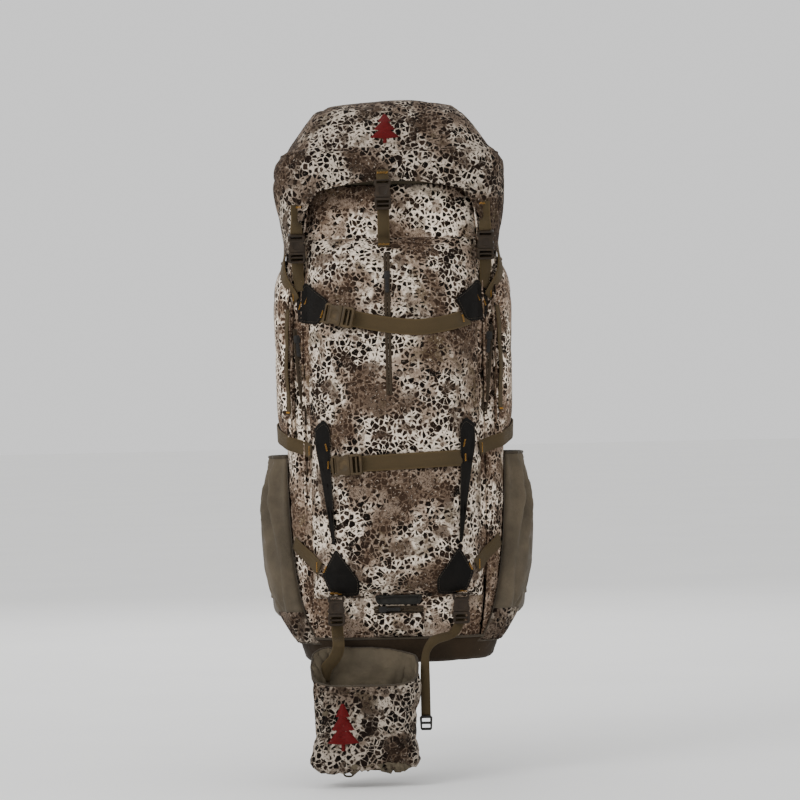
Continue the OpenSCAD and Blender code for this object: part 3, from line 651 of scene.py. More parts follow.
def stage():
    camera_data = bpy.data.cameras.new("camera")
    camera = bpy.data.objects.new("camera", camera_data)
    front_y = BAG_LOW[1] * MM
    camera_data.sensor_width = 36
    camera_data.lens = 36 * DISTANCE / VIEW_WIDTH
    camera.location = (VIEW_MID[0], front_y - DISTANCE, VIEW_MID[1])
    camera.rotation_euler = (Matrix.Rotation(math.pi / 2, 3, "X") @ Matrix.Rotation(-LEAN, 3, "Z")).to_euler()
    bpy.context.scene.collection.objects.link(camera)
    bpy.context.scene.camera = camera

    n = Nodes("floor")
    cloudy = n.range(n.noise(n.place(), 3.0), 0.3, 0.7)
    floor_mat = n.finish(n.mix(cloudy, (0.93, 0.93, 0.92, 1), (0.95, 0.95, 0.94, 1)), 0.9)
    mesh = bpy.data.meshes.new("floor")
    corners = ((-30, -30), (30, -30), (30, 30), (-30, 30))
    mesh.from_pydata([(x, y, FLOOR_Z) for x, y in corners], [], [(0, 1, 2, 3)])
    floor = bpy.data.objects.new("floor", mesh)
    mesh.materials.append(floor_mat)
    bpy.context.scene.collection.objects.link(floor)

    world = bpy.data.worlds.new("studio")
    bpy.context.scene.world = world
    world.use_nodes = True
    background = world.node_tree.nodes["Background"].inputs
    background[0].default_value, background[1].default_value = (1, 1, 1, 1), 1.0
    for name, place, aim, size, power in (
        ("key", (-2.2, -2.5, 2.2), (0, -0.1, 0.35), 1.6, 60),
        ("fill", (2.4, -2.4, 0.9), (0, -0.1, 0.3), 2.2, 4),
        ("back", (-0.4, 2.8, 2.0), (0, -0.1, 0.35), 2.0, 30),
    ):
        data = bpy.data.lights.new(name, "AREA")
        data.size = size
        data.energy = power
        light = bpy.data.objects.new(name, data)
        light.location = place
        light.rotation_euler = (Vector(aim) - Vector(place)).to_track_quat("-Z", "Y").to_euler()
        bpy.context.scene.collection.objects.link(light)


stage()


# ---- cloth simulation ----
CLOTH_SCALE = 10  # Blender's cloth behaves best at ten times this size


def simulate(jobs, frames=14):
    """Blows each grid of cloth up a little with its seams pinned, and gives the new grids back.

    A job is (points, closed, pins 0-1, pressure, growth, the furthest that a point may move)."""
    made = []
    for p, closed, pins, pressure, growth, _ in jobs:
        mesh = bpy.data.meshes.new("cloth")
        mesh.from_pydata((p.reshape(-1, 3) * MM * CLOTH_SCALE).tolist(), [], grid_faces(*p.shape[:2], closed))
        obj = bpy.data.objects.new("cloth", mesh)
        bpy.context.scene.collection.objects.link(obj)
        group = obj.vertex_groups.new(name="pins")
        for k, w in enumerate(pins.reshape(-1)):
            if w > 0:
                group.add([k], float(w), "REPLACE")
        cloth = obj.modifiers.new("cloth", "CLOTH")
        s = cloth.settings
        s.quality = 5
        s.mass = 0.4
        s.tension_stiffness = s.compression_stiffness = 25
        s.shear_stiffness = 12
        s.bending_stiffness = 0.8
        s.vertex_group_mass = "pins"
        s.shrink_min = -growth
        s.use_pressure = True
        s.uniform_pressure_force = pressure
        s.effector_weights.gravity = 0
        cloth.collision_settings.use_self_collision = False
        made.append(obj)
    scene = bpy.context.scene
    for f in range(1, frames + 1):
        scene.frame_set(f)
    deps = bpy.context.evaluated_depsgraph_get()
    results = []
    for obj, (p, *_, cap) in zip(made, jobs):
        done = obj.evaluated_get(deps)
        co = np.zeros(len(done.data.vertices) * 3)
        done.data.vertices.foreach_get("co", co)
        moved = co.reshape(p.shape) / (MM * CLOTH_SCALE) - p
        size = np.linalg.norm(moved, axis=-1, keepdims=True)
        results.append(p + moved * np.minimum(1, cap * np.tanh(size / cap) / np.maximum(size, 1e-6)))
    scene.frame_set(1)
    forget(made)
    return results


def forget(objects):
    """Removes objects that were only made to be worked on."""
    for obj in objects:
        mesh = obj.data
        bpy.data.objects.remove(obj)
        bpy.data.meshes.remove(mesh)


# ---- fabric grids, before simulation ----
def bag_panel(t0, t1, seed):
    """One wall of the bag, sunk a little at its seams and lumpy between."""
    t, z = np.meshgrid(spread(t0, t1, 1.6), spread(0, BAG_H, 5))
    p = on_bag(t, z, 0)
    seam = np.minimum(t - t0, t1 - t) * 2.2
    sunk = -1.5 * bell(seam, 6) + 1.2 * waves(p, 70, seed) - 2.2 * creases(p, 60, seed + 9, (1, 1, 0.6)) + 0.6
    return on_bag(t, z, np.clip(sunk, -6, 0.6))


def front_pocket_grid():
    across = spread(-POCKET_HALF_W + 1, POCKET_HALF_W - 1, 4)
    x, z = np.meshgrid(across, spread(POCKET_LOW[2], POCKET_HIGH[2], 4.5))
    return xyz(x, face(x, z), z)


def settle_pocket(p):
    """Presses the front pocket under the cross straps and along its zip and seams."""
    x, z = p[..., 0], p[..., 2]
    loose = hump(x / POCKET_HALF_W, 6) * hump((z - POCKET_MID_Z) / POCKET_HALF_H, 10)
    push = 3.5 * bell(z - (STRAP_Z[0] + 0.0012 * (x - 20) ** 2), 15) + 3.0 * bell(z - STRAP_Z[1], 15)
    push += 1.6 * bell(x + 6, 5) * smooth(300, 330, z)
    push += 3.4 * creases(p, 46, 5, (1.5, 1, 0.8), 3) * (0.45 + 0.55 * bell(np.abs(x) - 80, 40))
    push += 2.6 * creases(p, 30, 17, (0.7, 1, 1.7), 3) * (bell(z - 395, 30) + bell(z - 225, 30) + bell(z - 100, 40))
    out = p.copy()
    out[..., 1] += (push + 1.8 * waves(p, 60, 31)) * loose
    return out


def wing_grids():
    """An upper side pocket's outside and its back."""
    round_bag = spread(WING_T - WING_HALF_T + 1, WING_T + WING_HALF_T - 1, 1.7)
    t, z = np.meshgrid(round_bag, spread(WING_LOW[2], WING_HIGH[2], 4.5))
    rise = WING_BULGE * hump((t - WING_T) / WING_HALF_T, 4) * hump((z - WING_MID_Z) / WING_HALF_H, 6)
    return on_bag(t, z, GAP + 2 + rise), on_bag(t, z, GAP)


def bottle_grid():
    u, z = np.meshgrid(np.linspace(0, 1, 64), spread(BOTTLE_LOW, BOTTLE_TOP, 4))
    arch = np.maximum(0, np.sin(np.pi * u))
    rise = BOTTLE_BULGE * (1 - (np.abs(z - BOTTLE_MID_Z) / 140) ** 2.5) * arch**0.6
    front_t = 132 + 39 * (np.maximum(0, z - BOTTLE_LOW) / (BOTTLE_TOP - BOTTLE_LOW)) ** 0.55
    t = front_t + u * (BOTTLE_REAR_T - front_t)
    p = on_bag(t, z, GAP + 5.5 + rise)
    # Long folds fan from the gathered mouth down to the front corner.
    fold = np.sin(2 * np.pi * (u * 5.5 + 0.6 * waves(p, 90, 41) + 0.9 * (z / 240)))
    side = arch**0.5
    depth = 5.6 * side * (0.35 + 0.65 * smooth(40, 240, z)) * (0.6 + 0.5 * waves(p, 60, 44))
    small = 3.6 * creases(p, 24, 47, (0.7, 0.7, 2.4), 2) * side
    gather = 0.9 * arch * np.sin(2 * np.pi * u * 26 + 2 * waves(p, 20, 3)) * smooth(BOTTLE_TOP - 22, BOTTLE_TOP, z)
    return on_bag(t, z, GAP + 1.4 + 2.8 * side + rise + np.clip(fold * depth - small + gather, -9, 5))


# Level, half width, front and rear of the stuffed lid's rings.
LID_RINGS = np.array([
    [LID_SEAM_Z, LID_HALF - 7, LID_FRONT, LID_REAR], [642, LID_HALF - 12, LID_FRONT + 2, LID_REAR - 1],
    [655, LID_HALF - 21, LID_FRONT + 7, LID_REAR - 3], [675, LID_HALF - 34, LID_FRONT + 18, LID_REAR - 9],
    [691, LID_HALF - 46, LID_FRONT + 34, LID_REAR - 20], [700, LID_HALF - 61, LID_FRONT + 54, LID_REAR - 40],
    [LID_TOP + 4, LID_HALF - 88, LID_FRONT + 80, LID_REAR - 66], [LID_TOP + 5, 3, -130, -126],
])


def ring(t, half, front, rear, n=4.0):
    a = np.radians(t)
    return half * rounded(np.cos(a), n), (front + rear) / 2 - (rear - front) / 2 * rounded(np.sin(a), n)


def skirt_low(t):
    """How low the lid's skirt hangs: t in degrees from its right ear past the front."""
    s = np.minimum(np.where(t > 180, 360 - t, t), np.abs(180 - t))
    front = np.where(s > 67, 582 + 12 * (s - 67) / 23, 506 + 76 * (np.maximum(0, s - 31) / 36) ** 1.1)
    rear = np.where(s > 50, 600, 506 + 94 * (s / 50) ** 1.5)
    return np.where(t > 180, rear, front)


def lid_grids():
    t = around(150)
    skirt, top = [], []
    for f in np.linspace(0, 1, 26):
        z = skirt_low(t) + (LID_SEAM_Z - skirt_low(t)) * f
        half = LID_HALF - 7 * np.maximum(0, (z - 619) / 11) - 9 * smooth(570, 508, z)
        skirt.append(xyz(*ring(t, half, LID_FRONT, LID_REAR), z))
    path = travelled(LID_RINGS[:, :2])
    for s in spread(0, path[-1], 5):
        z, half, front, rear = between(s, path, LID_RINGS)
        top.append(xyz(*ring(t, half, front, rear, 4 - 1.6 * smooth(0.6, 1, s / path[-1])), z))
    return np.array(skirt), np.array(top)


def boot_grid():
    """The boot's outside, from the middle of its floor up to its slanting rim."""
    t = around(110)
    a = np.radians(t)
    rim = (BOOT_HIGH[2] - 22) - 22 * np.sign(np.sin(a)) * np.abs(np.sin(a)) ** 0.5
    rim = rim - np.where(t > 180, 7 * (np.cos(a) + 0.3) * np.abs(np.sin(a)), 0)
    floor = BOOT_LOW[2]
    rows = []

    def row(wide, deep, n, z):
        x, y = ring(t, BOOT_HALF_W * wide, -BOOT_HALF_D * deep, BOOT_HALF_D * deep, n)
        rows.append(xyz(BOOT_X + x, BOOT_Y + y, z))

    for k in np.linspace(0.05, 1, 9):
        row(0.86 * k, 0.84 * k, 3.2, floor + 1.5 * (k**6))
    for f in np.linspace(0.02, 1, 34):
        k = 1 - 0.14 * (1 - np.minimum(1, f / 0.16)) ** 2.4
        pinch = 1 - 0.05 * bell(f - 0.5, 0.22) + 0.05 * bell(f - 0.14, 0.12)
        row(k * pinch, k, 3.5, floor + (rim - floor) * f)
    return np.array(rows)


def pins_near(grid, rows=(), cols=(), soft=2, strength=1.0):
    """Weights along the given rows and columns of a grid, fading over soft lines."""
    j, i = np.indices(grid.shape[:2])
    far = [np.abs(j - r % len(grid)) for r in rows] + [np.abs(i - c % grid.shape[1]) for c in cols]
    return strength * np.clip(1 - np.min(far, axis=0) / soft, 0, 1)


ENDS = (0, -1)
pocket = front_pocket_grid()
wing, wing_back = wing_grids()
skirt, lid_top = lid_grids()
boot = boot_grid()
strap_rows = [int(np.argmin(np.abs(pocket[:, 0, 2] - z))) for z in STRAP_Z]
pocket_pins = np.maximum(pins_near(pocket, ENDS, ENDS), pins_near(pocket, strap_rows, strength=0.6))
boot_pins = np.maximum(pins_near(boot, (-1,)), pins_near(boot, (0, 1, 8, 9), soft=1.5, strength=0.7))
pocket, wing, lid_top, boot = simulate([
    (pocket, False, pocket_pins, 2.2, 0.035, 7),
    (wing, False, pins_near(wing, ENDS, ENDS), 2.2, 0.035, 6),
    (lid_top, True, pins_near(lid_top, ENDS), 1.6, 0.03, 7),
    (boot, True, boot_pins, 1.2, 0.045, 6),
])


# ---- the bag ----
FLOOR_MID_Y = BACK_Y - 86


def build_bag():
    made = {}
    for name, t0, t1, mat, seed, slot, node in (
        ("front_cloth", SEAM_T, 180 - SEAM_T, CAMO_SIDE, 101, "camo_fabric", "front_panel"),
        ("left_side_cloth", 180 - SEAM_T, 180 + SEAM_T, CAMO_SIDE, 111, "camo_fabric", "side_panels"),
        ("right_side_cloth", -SEAM_T, SEAM_T, CAMO_SIDE, 121, "camo_fabric", "side_panels"),
        ("back_cloth", 180 + SEAM_T, 360 - SEAM_T, OLIVE, 131, "olive_fabric", "back_wall"),
    ):
        wall = shell(bag_panel(t0, t1, seed), 2.6, inside(300, BAG_MID_Y))
        made[name] = add(name, wall, mat, PACK, (node,))
    seams = (SEAM_T, 180 - SEAM_T, 180 + SEAM_T, 360 - SEAM_T)
    piping = [tube(on_bag(t, spread(2, BAG_H - 2, 8), 0.4), 1.5) for t in seams]
    add("seam_piping", piping, CAMO_SIDE, PACK)
    floor = disc(on_bag(around(96), 0, 0), FLOOR_MID_Y, -1.4, 0.03, 1, 16)
    add("floor_cloth", shell(floor, 1.4, inside(50), True), OLIVE, PACK, ("bottom_panel",))
    return made


def build_base():
    """The hard-wearing base cup, with a rolled binding round its rim."""
    t = around(150)
    middle = inside(40)
    # Height and distance out from the bag's wall, from the floor up to the rim.
    profile = [(-12, -60), (-12, -14), (-11, -7), (-9, -2.5), (-5.5, 1.0), (0, 2.6), (6, 3.2), (12, 3.3), (20, 3.2)]
    rings = [level(t, z, out, max(z, 0)) for z, out, _ in catmull([(z, out, 0) for z, out in profile], 4)]
    cup = wrinkle(np.array(rings), True, middle, 0.5, 207, 40)
    add("base_cup", shell(cup, 1.4, middle, True), BASE_CLOTH, PACK, ("base_panel",))
    floor = disc(on_bag(t, 0, -60), FLOOR_MID_Y, -11.5, 0.02, 1, 10)
    add("base_floor", shell(floor, 1.0, middle, True), BASE_CLOTH, PACK)
    add("base_binding", tube(on_bag(t, 20, 3.0) + [0, 0, 0.5], 1.5, 8, True), BINDING, PACK)


bag = build_bag()
build_base()


# ---- pockets ----
def closed_pocket(name, grid, back, mat, node):
    """A stuffed pocket: its outside, walls turned in at the edge, and a plain back."""
    obj = add(name, sheets(grid, back), mat, PACK, (node,))
    return obj


def edge_loop(grid):
    """The points round the edge of a grid."""
    return np.concatenate([grid[0], grid[1:, -1], grid[-1, -2::-1], grid[-2:0:-1, 0]])


def against_bag(grid):
    x, z = grid[..., 0], grid[..., 2]
    return xyz(x, bag_front(x, z) - GAP, z)


def build_pockets():
    grid = settle_pocket(pocket)
    made = {"front": closed_pocket("front_pocket_cloth", grid, against_bag(grid), CAMO_FRONT, "front_pocket")}
    piping = [tube(edge_loop(grid) + [0, 2.4, 0], 1.2, 8, True)]
    surface = wrinkle(wing, False, inside(380), 1.3, 301, 44, (1, 1, 1.3))
    for side, name in HANDS:
        flip = mirror(-side)
        cloth, node = name + "_wing_cloth", name + "_wing_pocket"
        made[name] = closed_pocket(cloth, surface * flip, wing_back * flip, CAMO_WING, node)
        piping.append(tube(edge_loop(surface * flip), 1.3, 8, True))
    add("pocket_piping", piping, CAMO_FRONT, PACK)
    return made


def build_bottle_pockets():
    grid = bottle_grid()
    middle = inside(150)
    cut = int(np.argmin(np.abs(grid[:, 0, 2] - CORNER_TOP_Z)))
    hems, made = [], []
    for side, name in HANDS:
        g = grid * mirror(-side)
        upper, corner = shell(g[cut:], 1.4, middle), shell(g[:cut + 1], 1.8, middle)
        made.append(add(name + "_bottle_cloth", upper, STRETCH, PACK, (name + "_bottle_pocket",)))
        # The lower corners use the boot's darkest copy of the print, as painted shade on their side faces.
        made.append(add(name + "_corner_cloth", corner, CAMO_BOOT, PACK))
        hems.append(tube(g[-1] + [0, 0, -0.5], 1.9))
        hems += [tube(edge, 0.9) for edge in (g[:, 0], g[:, -1], g[0])]
    add("bottle_pocket_hems", hems, BINDING, PACK)
    return made


STOW_ZIP_Z = 57


def build_stow_pocket():
    low, high = cad("stow_pocket")
    x, z = np.meshgrid(spread(low[0], high[0], 2.5), spread(low[2], high[2], 2))
    rise_x = hump(x / (high[0] + 2), 4)
    rise_z = hump((z - (low[2] + high[2]) / 2) / ((high[2] - low[2]) / 2 + 2), 4)
    grid = xyz(x, bag_front(x, z) - GAP - 2 - 9 * rise_x * rise_z, z)
    grid[..., 1] += 1.2 * creases(grid, 22, 91) * rise_x * (1 - bell(z - STOW_ZIP_Z, 7))
    return closed_pocket("stow_pocket_cloth", grid, against_bag(grid), CAMO_FRONT, "stow_pocket")


pockets = build_pockets()
bottles = build_bottle_pockets()
stow = build_stow_pocket()


# ---- lid ----
def build_lid():
    middle = inside(640, LID_MID_Y)
    low = wrinkle(skirt, True, middle, 1.7, 401, 42, (1, 1, 0.9))
    fade = smooth(0, 5, np.arange(len(low))[::-1])[:, None] * (0.3 + 0.7 * smooth(530, 570, skirt[..., 2]))
    low = skirt + (low - skirt) * fade[..., None]
    top = wrinkle(lid_top, True, middle, 2.4, 431, 46)
    top = lid_top + (top - lid_top) * smooth(0, 5, np.arange(len(top)))[:, None, None]
    top[..., 2] = np.minimum(top[..., 2], LID_TOP + 9)
    # The rings close to the top's middle are levelled.
    for row, share in ((-1, 1.0), (-2, 0.8), (-3, 0.5)):
        top[row, :, 2] += share * (top[-4, :, 2].mean() - top[row, :, 2])
    hanging = shell(low, 1.6, middle, True)
    skirt_obj = add("lid_skirt_cloth", hanging, CAMO_LID, "lid", ("lid_skirt",))
    # The stuffed top is closed underneath by a lining.
    under = disc(top[0], LID_MID_Y, LID_SEAM_Z + 1.0, 0.04, 0.97, 10)
    stuffed = loft(np.concatenate([under, top]))
    lid_obj = add("lid_cloth", stuffed, CAMO_LID, "lid", ("lid_shell",))
    piping = [tube(top[0] + [0, 0, 0.2], 0.9, 8, True), tube(low[0] + [0, 0, 0.4], 1.1, 8, True)]
    add("lid_piping", piping, CAMO_LID, "lid")
    return lid_obj, skirt_obj


# ---- boot ----
def build_boot():
    middle = np.array([BOOT_X, BOOT_Y, -60])
    fade = smooth(0, 4, np.arange(len(boot))[::-1])[:, None, None]
    out = boot + (wrinkle(boot, True, middle, 2.6, 501, 32, (1, 1, 1.3)) - boot) * fade
    inward = -normals_of(out, True, middle)
    made = add("boot_cloth", shell(out, 0.9, middle, True), CAMO_BOOT, "boot", ("boot_shell",))
    # The lining lies inside the outer cloth, further in near the floor.
    inner = out + inward * (1.6 + 3.0 * smooth(30, 8, boot[..., 2] - BOOT_LOW[2]))[..., None]
    lining = inner + (wrinkle(inner, True, middle, 0.9, 541, 24, (1, 1, 2)) - inner) * fade + inward * 0.9
    add("boot_lining", shell(lining, 0.8, middle, True), LINING, "boot")
    rim = tube(out[-1] + inward[-1] * 1.4 + [0, 0, 0.3], 1.5, 8, True)
    add("boot_binding", rim, BINDING, "boot")
    return made


lid_obj, skirt_obj = build_lid()
boot_obj = build_boot()
skin_front = Skin(pockets["front"], bag["front_cloth"], bag["left_side_cloth"], bag["right_side_cloth"], stow)
skin_sides = Skin(*bag.values(), *pockets.values(), *bottles)
skin_lid = Skin(lid_obj, skirt_obj)
skin_boot = Skin(boot_obj)


def front_at(x, z, out, half=0.0):
    """On the front, clear of the highest cloth within half a width above and below."""
    return np.array([x, min(skin_front.front(x, z + s * half, out)[1] for s in (-1, 0, 1)), z])


def clear_at(x, z, out):
    """On the front, clear of the highest cloth close by."""
    return np.array([x, min(front_at(x + dx, z, out, 1.8)[1] for dx in (-1.8, 0, 1.8)), z])


def side_at(t, z, out, half=0.0):
    """The same round the sides, for t in degrees."""
    places = [skin_sides.side(t, z + s * half, out) for s in (-1, 0, 1)]
    x, y, _ = max(places, key=lambda p: np.hypot(p[0], p[1] - BAG_MID_Y))
    return np.array([x, y, z])


def level_out(path):
    """The level directions away from the bag's middle."""
    return (path - [0, BAG_MID_Y, 0]) * [1, 1, 0]


# ---- sewn details ----
def rounded_outline(corners, step=2.5, rounds=3):
    """Points along an outline, with its corners eased."""
    c = np.asarray(corners, float)
    out = []
    for a, b in zip(c, np.roll(c, -1, 0)):
        n = max(2, int(np.linalg.norm(b - a) / step))
        out += [a + (b - a) * k / n for k in range(n)]
    for _ in range(rounds):
        out = (np.roll(out, 1, 0) + 2 * np.array(out) + np.roll(out, -1, 0)) / 4
    return out


def patch_parts(corners, surface, thick=1.2, rise=0.8):
    """A flat patch on a surface, with its perimeter for stitching."""
    outline = rounded_outline(corners)
    middle = outline.mean(0)
    reach = np.linalg.norm(outline - middle, axis=1).mean()

    def ring_at(f, out):
        return [surface(*(middle + (q - middle) * f), out) for q in outline]

    profile = [(f, thick) for f in np.linspace(0.04, 0.94, 12)]
    profile += [(1 - 0.9 / reach, thick), (1, thick * 0.5), (1, -0.6), (0.6, -0.6), (0.04, -0.6)]
    sewn = ring_at(1 - 2.6 / reach, thick + rise + 0.15)
    return loft([ring_at(f, out + rise) for f, out in profile]), np.array(sewn + sewn[:1])


def dashes(path, dash=2.8, pitch=4.2, radius=0.3):
    """A row of stitches along a path that lies on the cloth."""
    far = travelled(path)
    starts = np.arange(1, far[-1] - dash, pitch)
    return [tube(between(start + np.array([0, 0.5, 1]) * dash, far, path), radius, 4) for start in starts]


def bartack(middle, along, across, length=9.0, width=1.8, turns=11):
    """A dense zigzag of thread; middle lies on the surface and the directions are in it."""
    along, across = unit(along) * length, unit(across) * width / 2
    path = [middle + along * (k / turns - 0.5) + across * (1 if k % 2 else -1) for k in range(turns + 1)]
    return tube(path, 0.42, 5)


def tree(centre, size, surface, pitch=0.62):
    """A plain pine tree in satin stitch: rows of thread across its outline."""
    w, h = size
    trunk = 0.86
    rows = []
    for v in np.arange(0, 1, pitch / h):
        half = w / 2 * 0.13
        if v < trunk:
            tier = v / trunk * 3
            k = int(tier)
            half = w / 2 * (0.10 + 0.16 * k + (tier - k) * (0.42 + 0.16 * k))
        row = []
        for x in np.linspace(-half, half, max(3, int(half / 2))):
            z = centre[1] + h * (0.5 - v) + 0.5 * abs(x) / w * 6
            row.append(surface(centre[0] + x, z, 0.25 + 0.35 * (1 - (x / half) ** 4)))
        rows.append(tube(row, 0.36, 4))
    return rows


# ---- moulded hardware ----
def solid(outline, z0, z1):
    n = len(outline)
    verts = [(x, y, z) for z in (z0, z1) for x, y in outline]
    walls = [(i, (i + 1) % n, n + (i + 1) % n, n + i) for i in range(n)]
    return np.array(verts, float), [tuple(reversed(range(n))), tuple(range(n, 2 * n)), *walls]


def block(x0, x1, y0, y1, z0, z1):
    return solid([(x0, y0), (x1, y0), (x1, y1), (x0, y1)], z0, z1)


def moulded(base, holes, bevel=0.55):
    """Cuts the holes out of a solid and rounds its edges."""
    objs = []
    for verts, faces in [base, *holes]:
        mesh = bpy.data.meshes.new("solid")
        mesh.from_pydata(verts.tolist(), [], faces)
        obj = bpy.data.objects.new("solid", mesh)
        bpy.context.scene.collection.objects.link(obj)
        objs.append(obj)
    for hole in objs[1:]:
        cut = objs[0].modifiers.new("cut", "BOOLEAN")
        cut.object, cut.operation, cut.solver = hole, "DIFFERENCE", "EXACT"
    soft = objs[0].modifiers.new("soft", "BEVEL")
    soft.width, soft.segments, soft.limit_method, soft.angle_limit = bevel, 2, "ANGLE", math.radians(35)
    done = objs[0].evaluated_get(bpy.context.evaluated_depsgraph_get()).to_mesh()
    verts = np.array([v.co for v in done.vertices])
    faces = [tuple(p.vertices) for p in done.polygons]
    forget(objs)
    return verts, faces


def both_sides(points):
    return [(x, y) for x, y in points] + [(x, -y) for x, y in reversed(points)]


# Every buckle half starts at the socket's mouth, x = 0, with the clip towards +x.
def make_socket(w):
    e = w / 2 + 3
    outline = both_sides([(-22, -e + 2.5), (-20.5, -e), (-15.5, -e), (-13.5, -e + 1.5), (-7.5, -e + 1.5), (-5.5, -e),
                          (-1.6, -e), (0, -e + 1.6)])
    # Windows in both sides, where the clip's arms are pressed.
    windows = [block(-12.4, -6.8, *sorted((s * (e + 1), s * (e - 2.4))), 2.3, 7.3) for s in SIDES]
    return moulded(solid(outline, 0, 9.6), [
        block(-20.2, -17.2, -w / 2, w / 2, -1, 11), block(-15, 1, -w / 2 + 0.3, w / 2 - 0.3, 1.9, 7.7), *windows,
        solid(both_sides([(-13, -w / 5), (-11, -w / 3.4), (-5, -w / 3.4), (-3, -w / 5)]), 9.0, 11),
        block(-16.6, -15.8, -w / 2 - 0.5, w / 2 + 0.5, 9.0, 11),
    ], 0.6)


def make_clip(w):
    e, h = w / 2 + 3, w / 2
    outline = both_sides([(0.4, -e + 1), (1.6, -e), (13, -e), (15.4, -e + 2.2)])
    slots = [block(4, 7, -h, h, -1, 11), block(9.4, 12.4, -h, h, -1, 11), block(7, 9.4, -h, h, 7.2, 11)]
    arm = [(1, h - 3.6), (-9, h - 3.4), (-12, h - 1.8), (-11, h + 0.6), (-8, h + 1.3), (-7, h - 0.6), (1, h - 0.8)]
    arms = [solid([(x, s * y) for x, y in arm[::-s]], 3.3, 6.3) for s in SIDES]
    tongue = solid([(1, -1.4), (1, 1.4), (-10, 1.2), (-11.4, 0), (-10, -1.2)], 3.5, 6.1)
    return merged([moulded(solid(outline, 0.6, 9.0), slots), *arms, tongue])


def make_ladder(w):
    e, h = w / 2 + 3, w / 2
    outline = both_sides([(0, -e + 2), (2, -e), (16, -e + 0.8), (18, -e + 2.4)])
    slots = [block(3, 7.5, -h, h, -1, 7), block(10.5, 15, -h, h, -1, 7), block(7, 11, -h, h, 3.6, 7)]
    return moulded(solid(outline, 0, 5), slots, 0.6)


def make_slider():
    body = solid(both_sides([(-5, -3), (-4, -3.6), (1, -4), (5, -3.2)]), 0, 3)
    bridge = solid(both_sides([(-3, -1), (2.5, -1)]), 2.6, 4.2)
    tab = solid(both_sides([(-22, -1.6), (-20.8, -2.6), (-7, -2.1), (-3, -1.5), (-1.6, -1)]), 1.1, 2.7)
    grips = [block(-x - 0.5, -x, -4, 4, 2.35, 5) for x in (9, 11, 13, 15, 17)]
    return merged([
        moulded(body, [block(-6, 6, -0.8, 0.8, -1, 0.9)], 0.5),
        moulded(bridge, [block(-1.8, 1.2, -3, 3, 2, 3.4)], 0.2),
        moulded(tab, [block(-5.4, -3.4, -1, 1, 0, 5), *grips], 0.25),
    ])


def placed(part, p, along, out):
    """A moulded part moved to p, with its x along one direction and its z out."""
    x = unit(along)
    y = unit(np.cross(out, x))
    verts, faces = part
    return verts @ np.array([x, y, np.cross(x, y)]) + np.asarray(p, float), faces


SOCKET = {w: make_socket(w) for w in (15, 20, 38)}
CLIP = {w: make_clip(w) for w in (15, 20, 38)}
LADDER = {w: make_ladder(w) for w in (10, 20)}
SLIDER = make_slider()

# Where the part's buckles are: each mouth, the way its clip points, and outward.
BUCKLE_OUT = 7.7
FRONT_MOUTH, SIDE_MOUTH = np.array([-9.0, -236, 572]), np.array([118.0, -219, 510])
LEAN_DIR = np.array([0, (590 - 510) / (-24 + 219), -1])  # square to the lid's arc about its hinge
SIDE_OUT = np.array([0, -1, -LEAN_DIR[1]])
BOOT_MOUTH = np.array([78.0, float(face(78, 62)) - 12, 54])
(UPPER, UPPER_WAY), (LOWER, LOWER_WAY) = (
    (face_at(*mouth, BUCKLE_OUT), face_at(*end, BUCKLE_OUT) - face_at(*mouth, BUCKLE_OUT))
    for mouth, end in (((-62, 424), (-44, 420)), ((-56, 240), (-38, 241))))
UPPER_AT, LOWER_AT, LID_FRONT_AT = (UPPER, UPPER_WAY, FRONT), (LOWER, LOWER_WAY, FRONT), (FRONT_MOUTH, DOWN, FRONT)
LID_LEFT_AT, LID_RIGHT_AT = ((SIDE_MOUTH * mirror(s), LEAN_DIR, SIDE_OUT) for s in SIDES)
BOOT_LEFT_AT, BOOT_RIGHT_AT = ((BOOT_MOUTH * mirror(s), DOWN, FRONT) for s in SIDES)


def build_buckles():
    def sockets(w, *places):
        return [placed(SOCKET[w], *at) for at in places]

    hardware("boot_sockets", sockets(15, BOOT_LEFT_AT, BOOT_RIGHT_AT), PACK, ("bag_buckles",))
    hardware("cross_sockets", sockets(20, UPPER_AT, LOWER_AT), PACK, ("bag_buckles",), PLASTIC_OLIVE)
    hardware("lid_sockets", sockets(15, LID_FRONT_AT, LID_LEFT_AT, LID_RIGHT_AT), "lid", ("lid_buckles",))
    for node, at in (
        ("upper_cross_clip", UPPER_AT), ("lower_cross_clip", LOWER_AT), ("lid_front_clip", LID_FRONT_AT),
        ("lid_left_clip", LID_LEFT_AT), ("lid_right_clip", LID_RIGHT_AT),
        ("boot_left_clip", BOOT_LEFT_AT), ("boot_right_clip", BOOT_RIGHT_AT),
    ):
        w, mat = (20, PLASTIC_OLIVE) if "cross" in node else (15, PLASTIC)
        hardware(node + "_form", placed(CLIP[w], *at), node, (node,), mat)


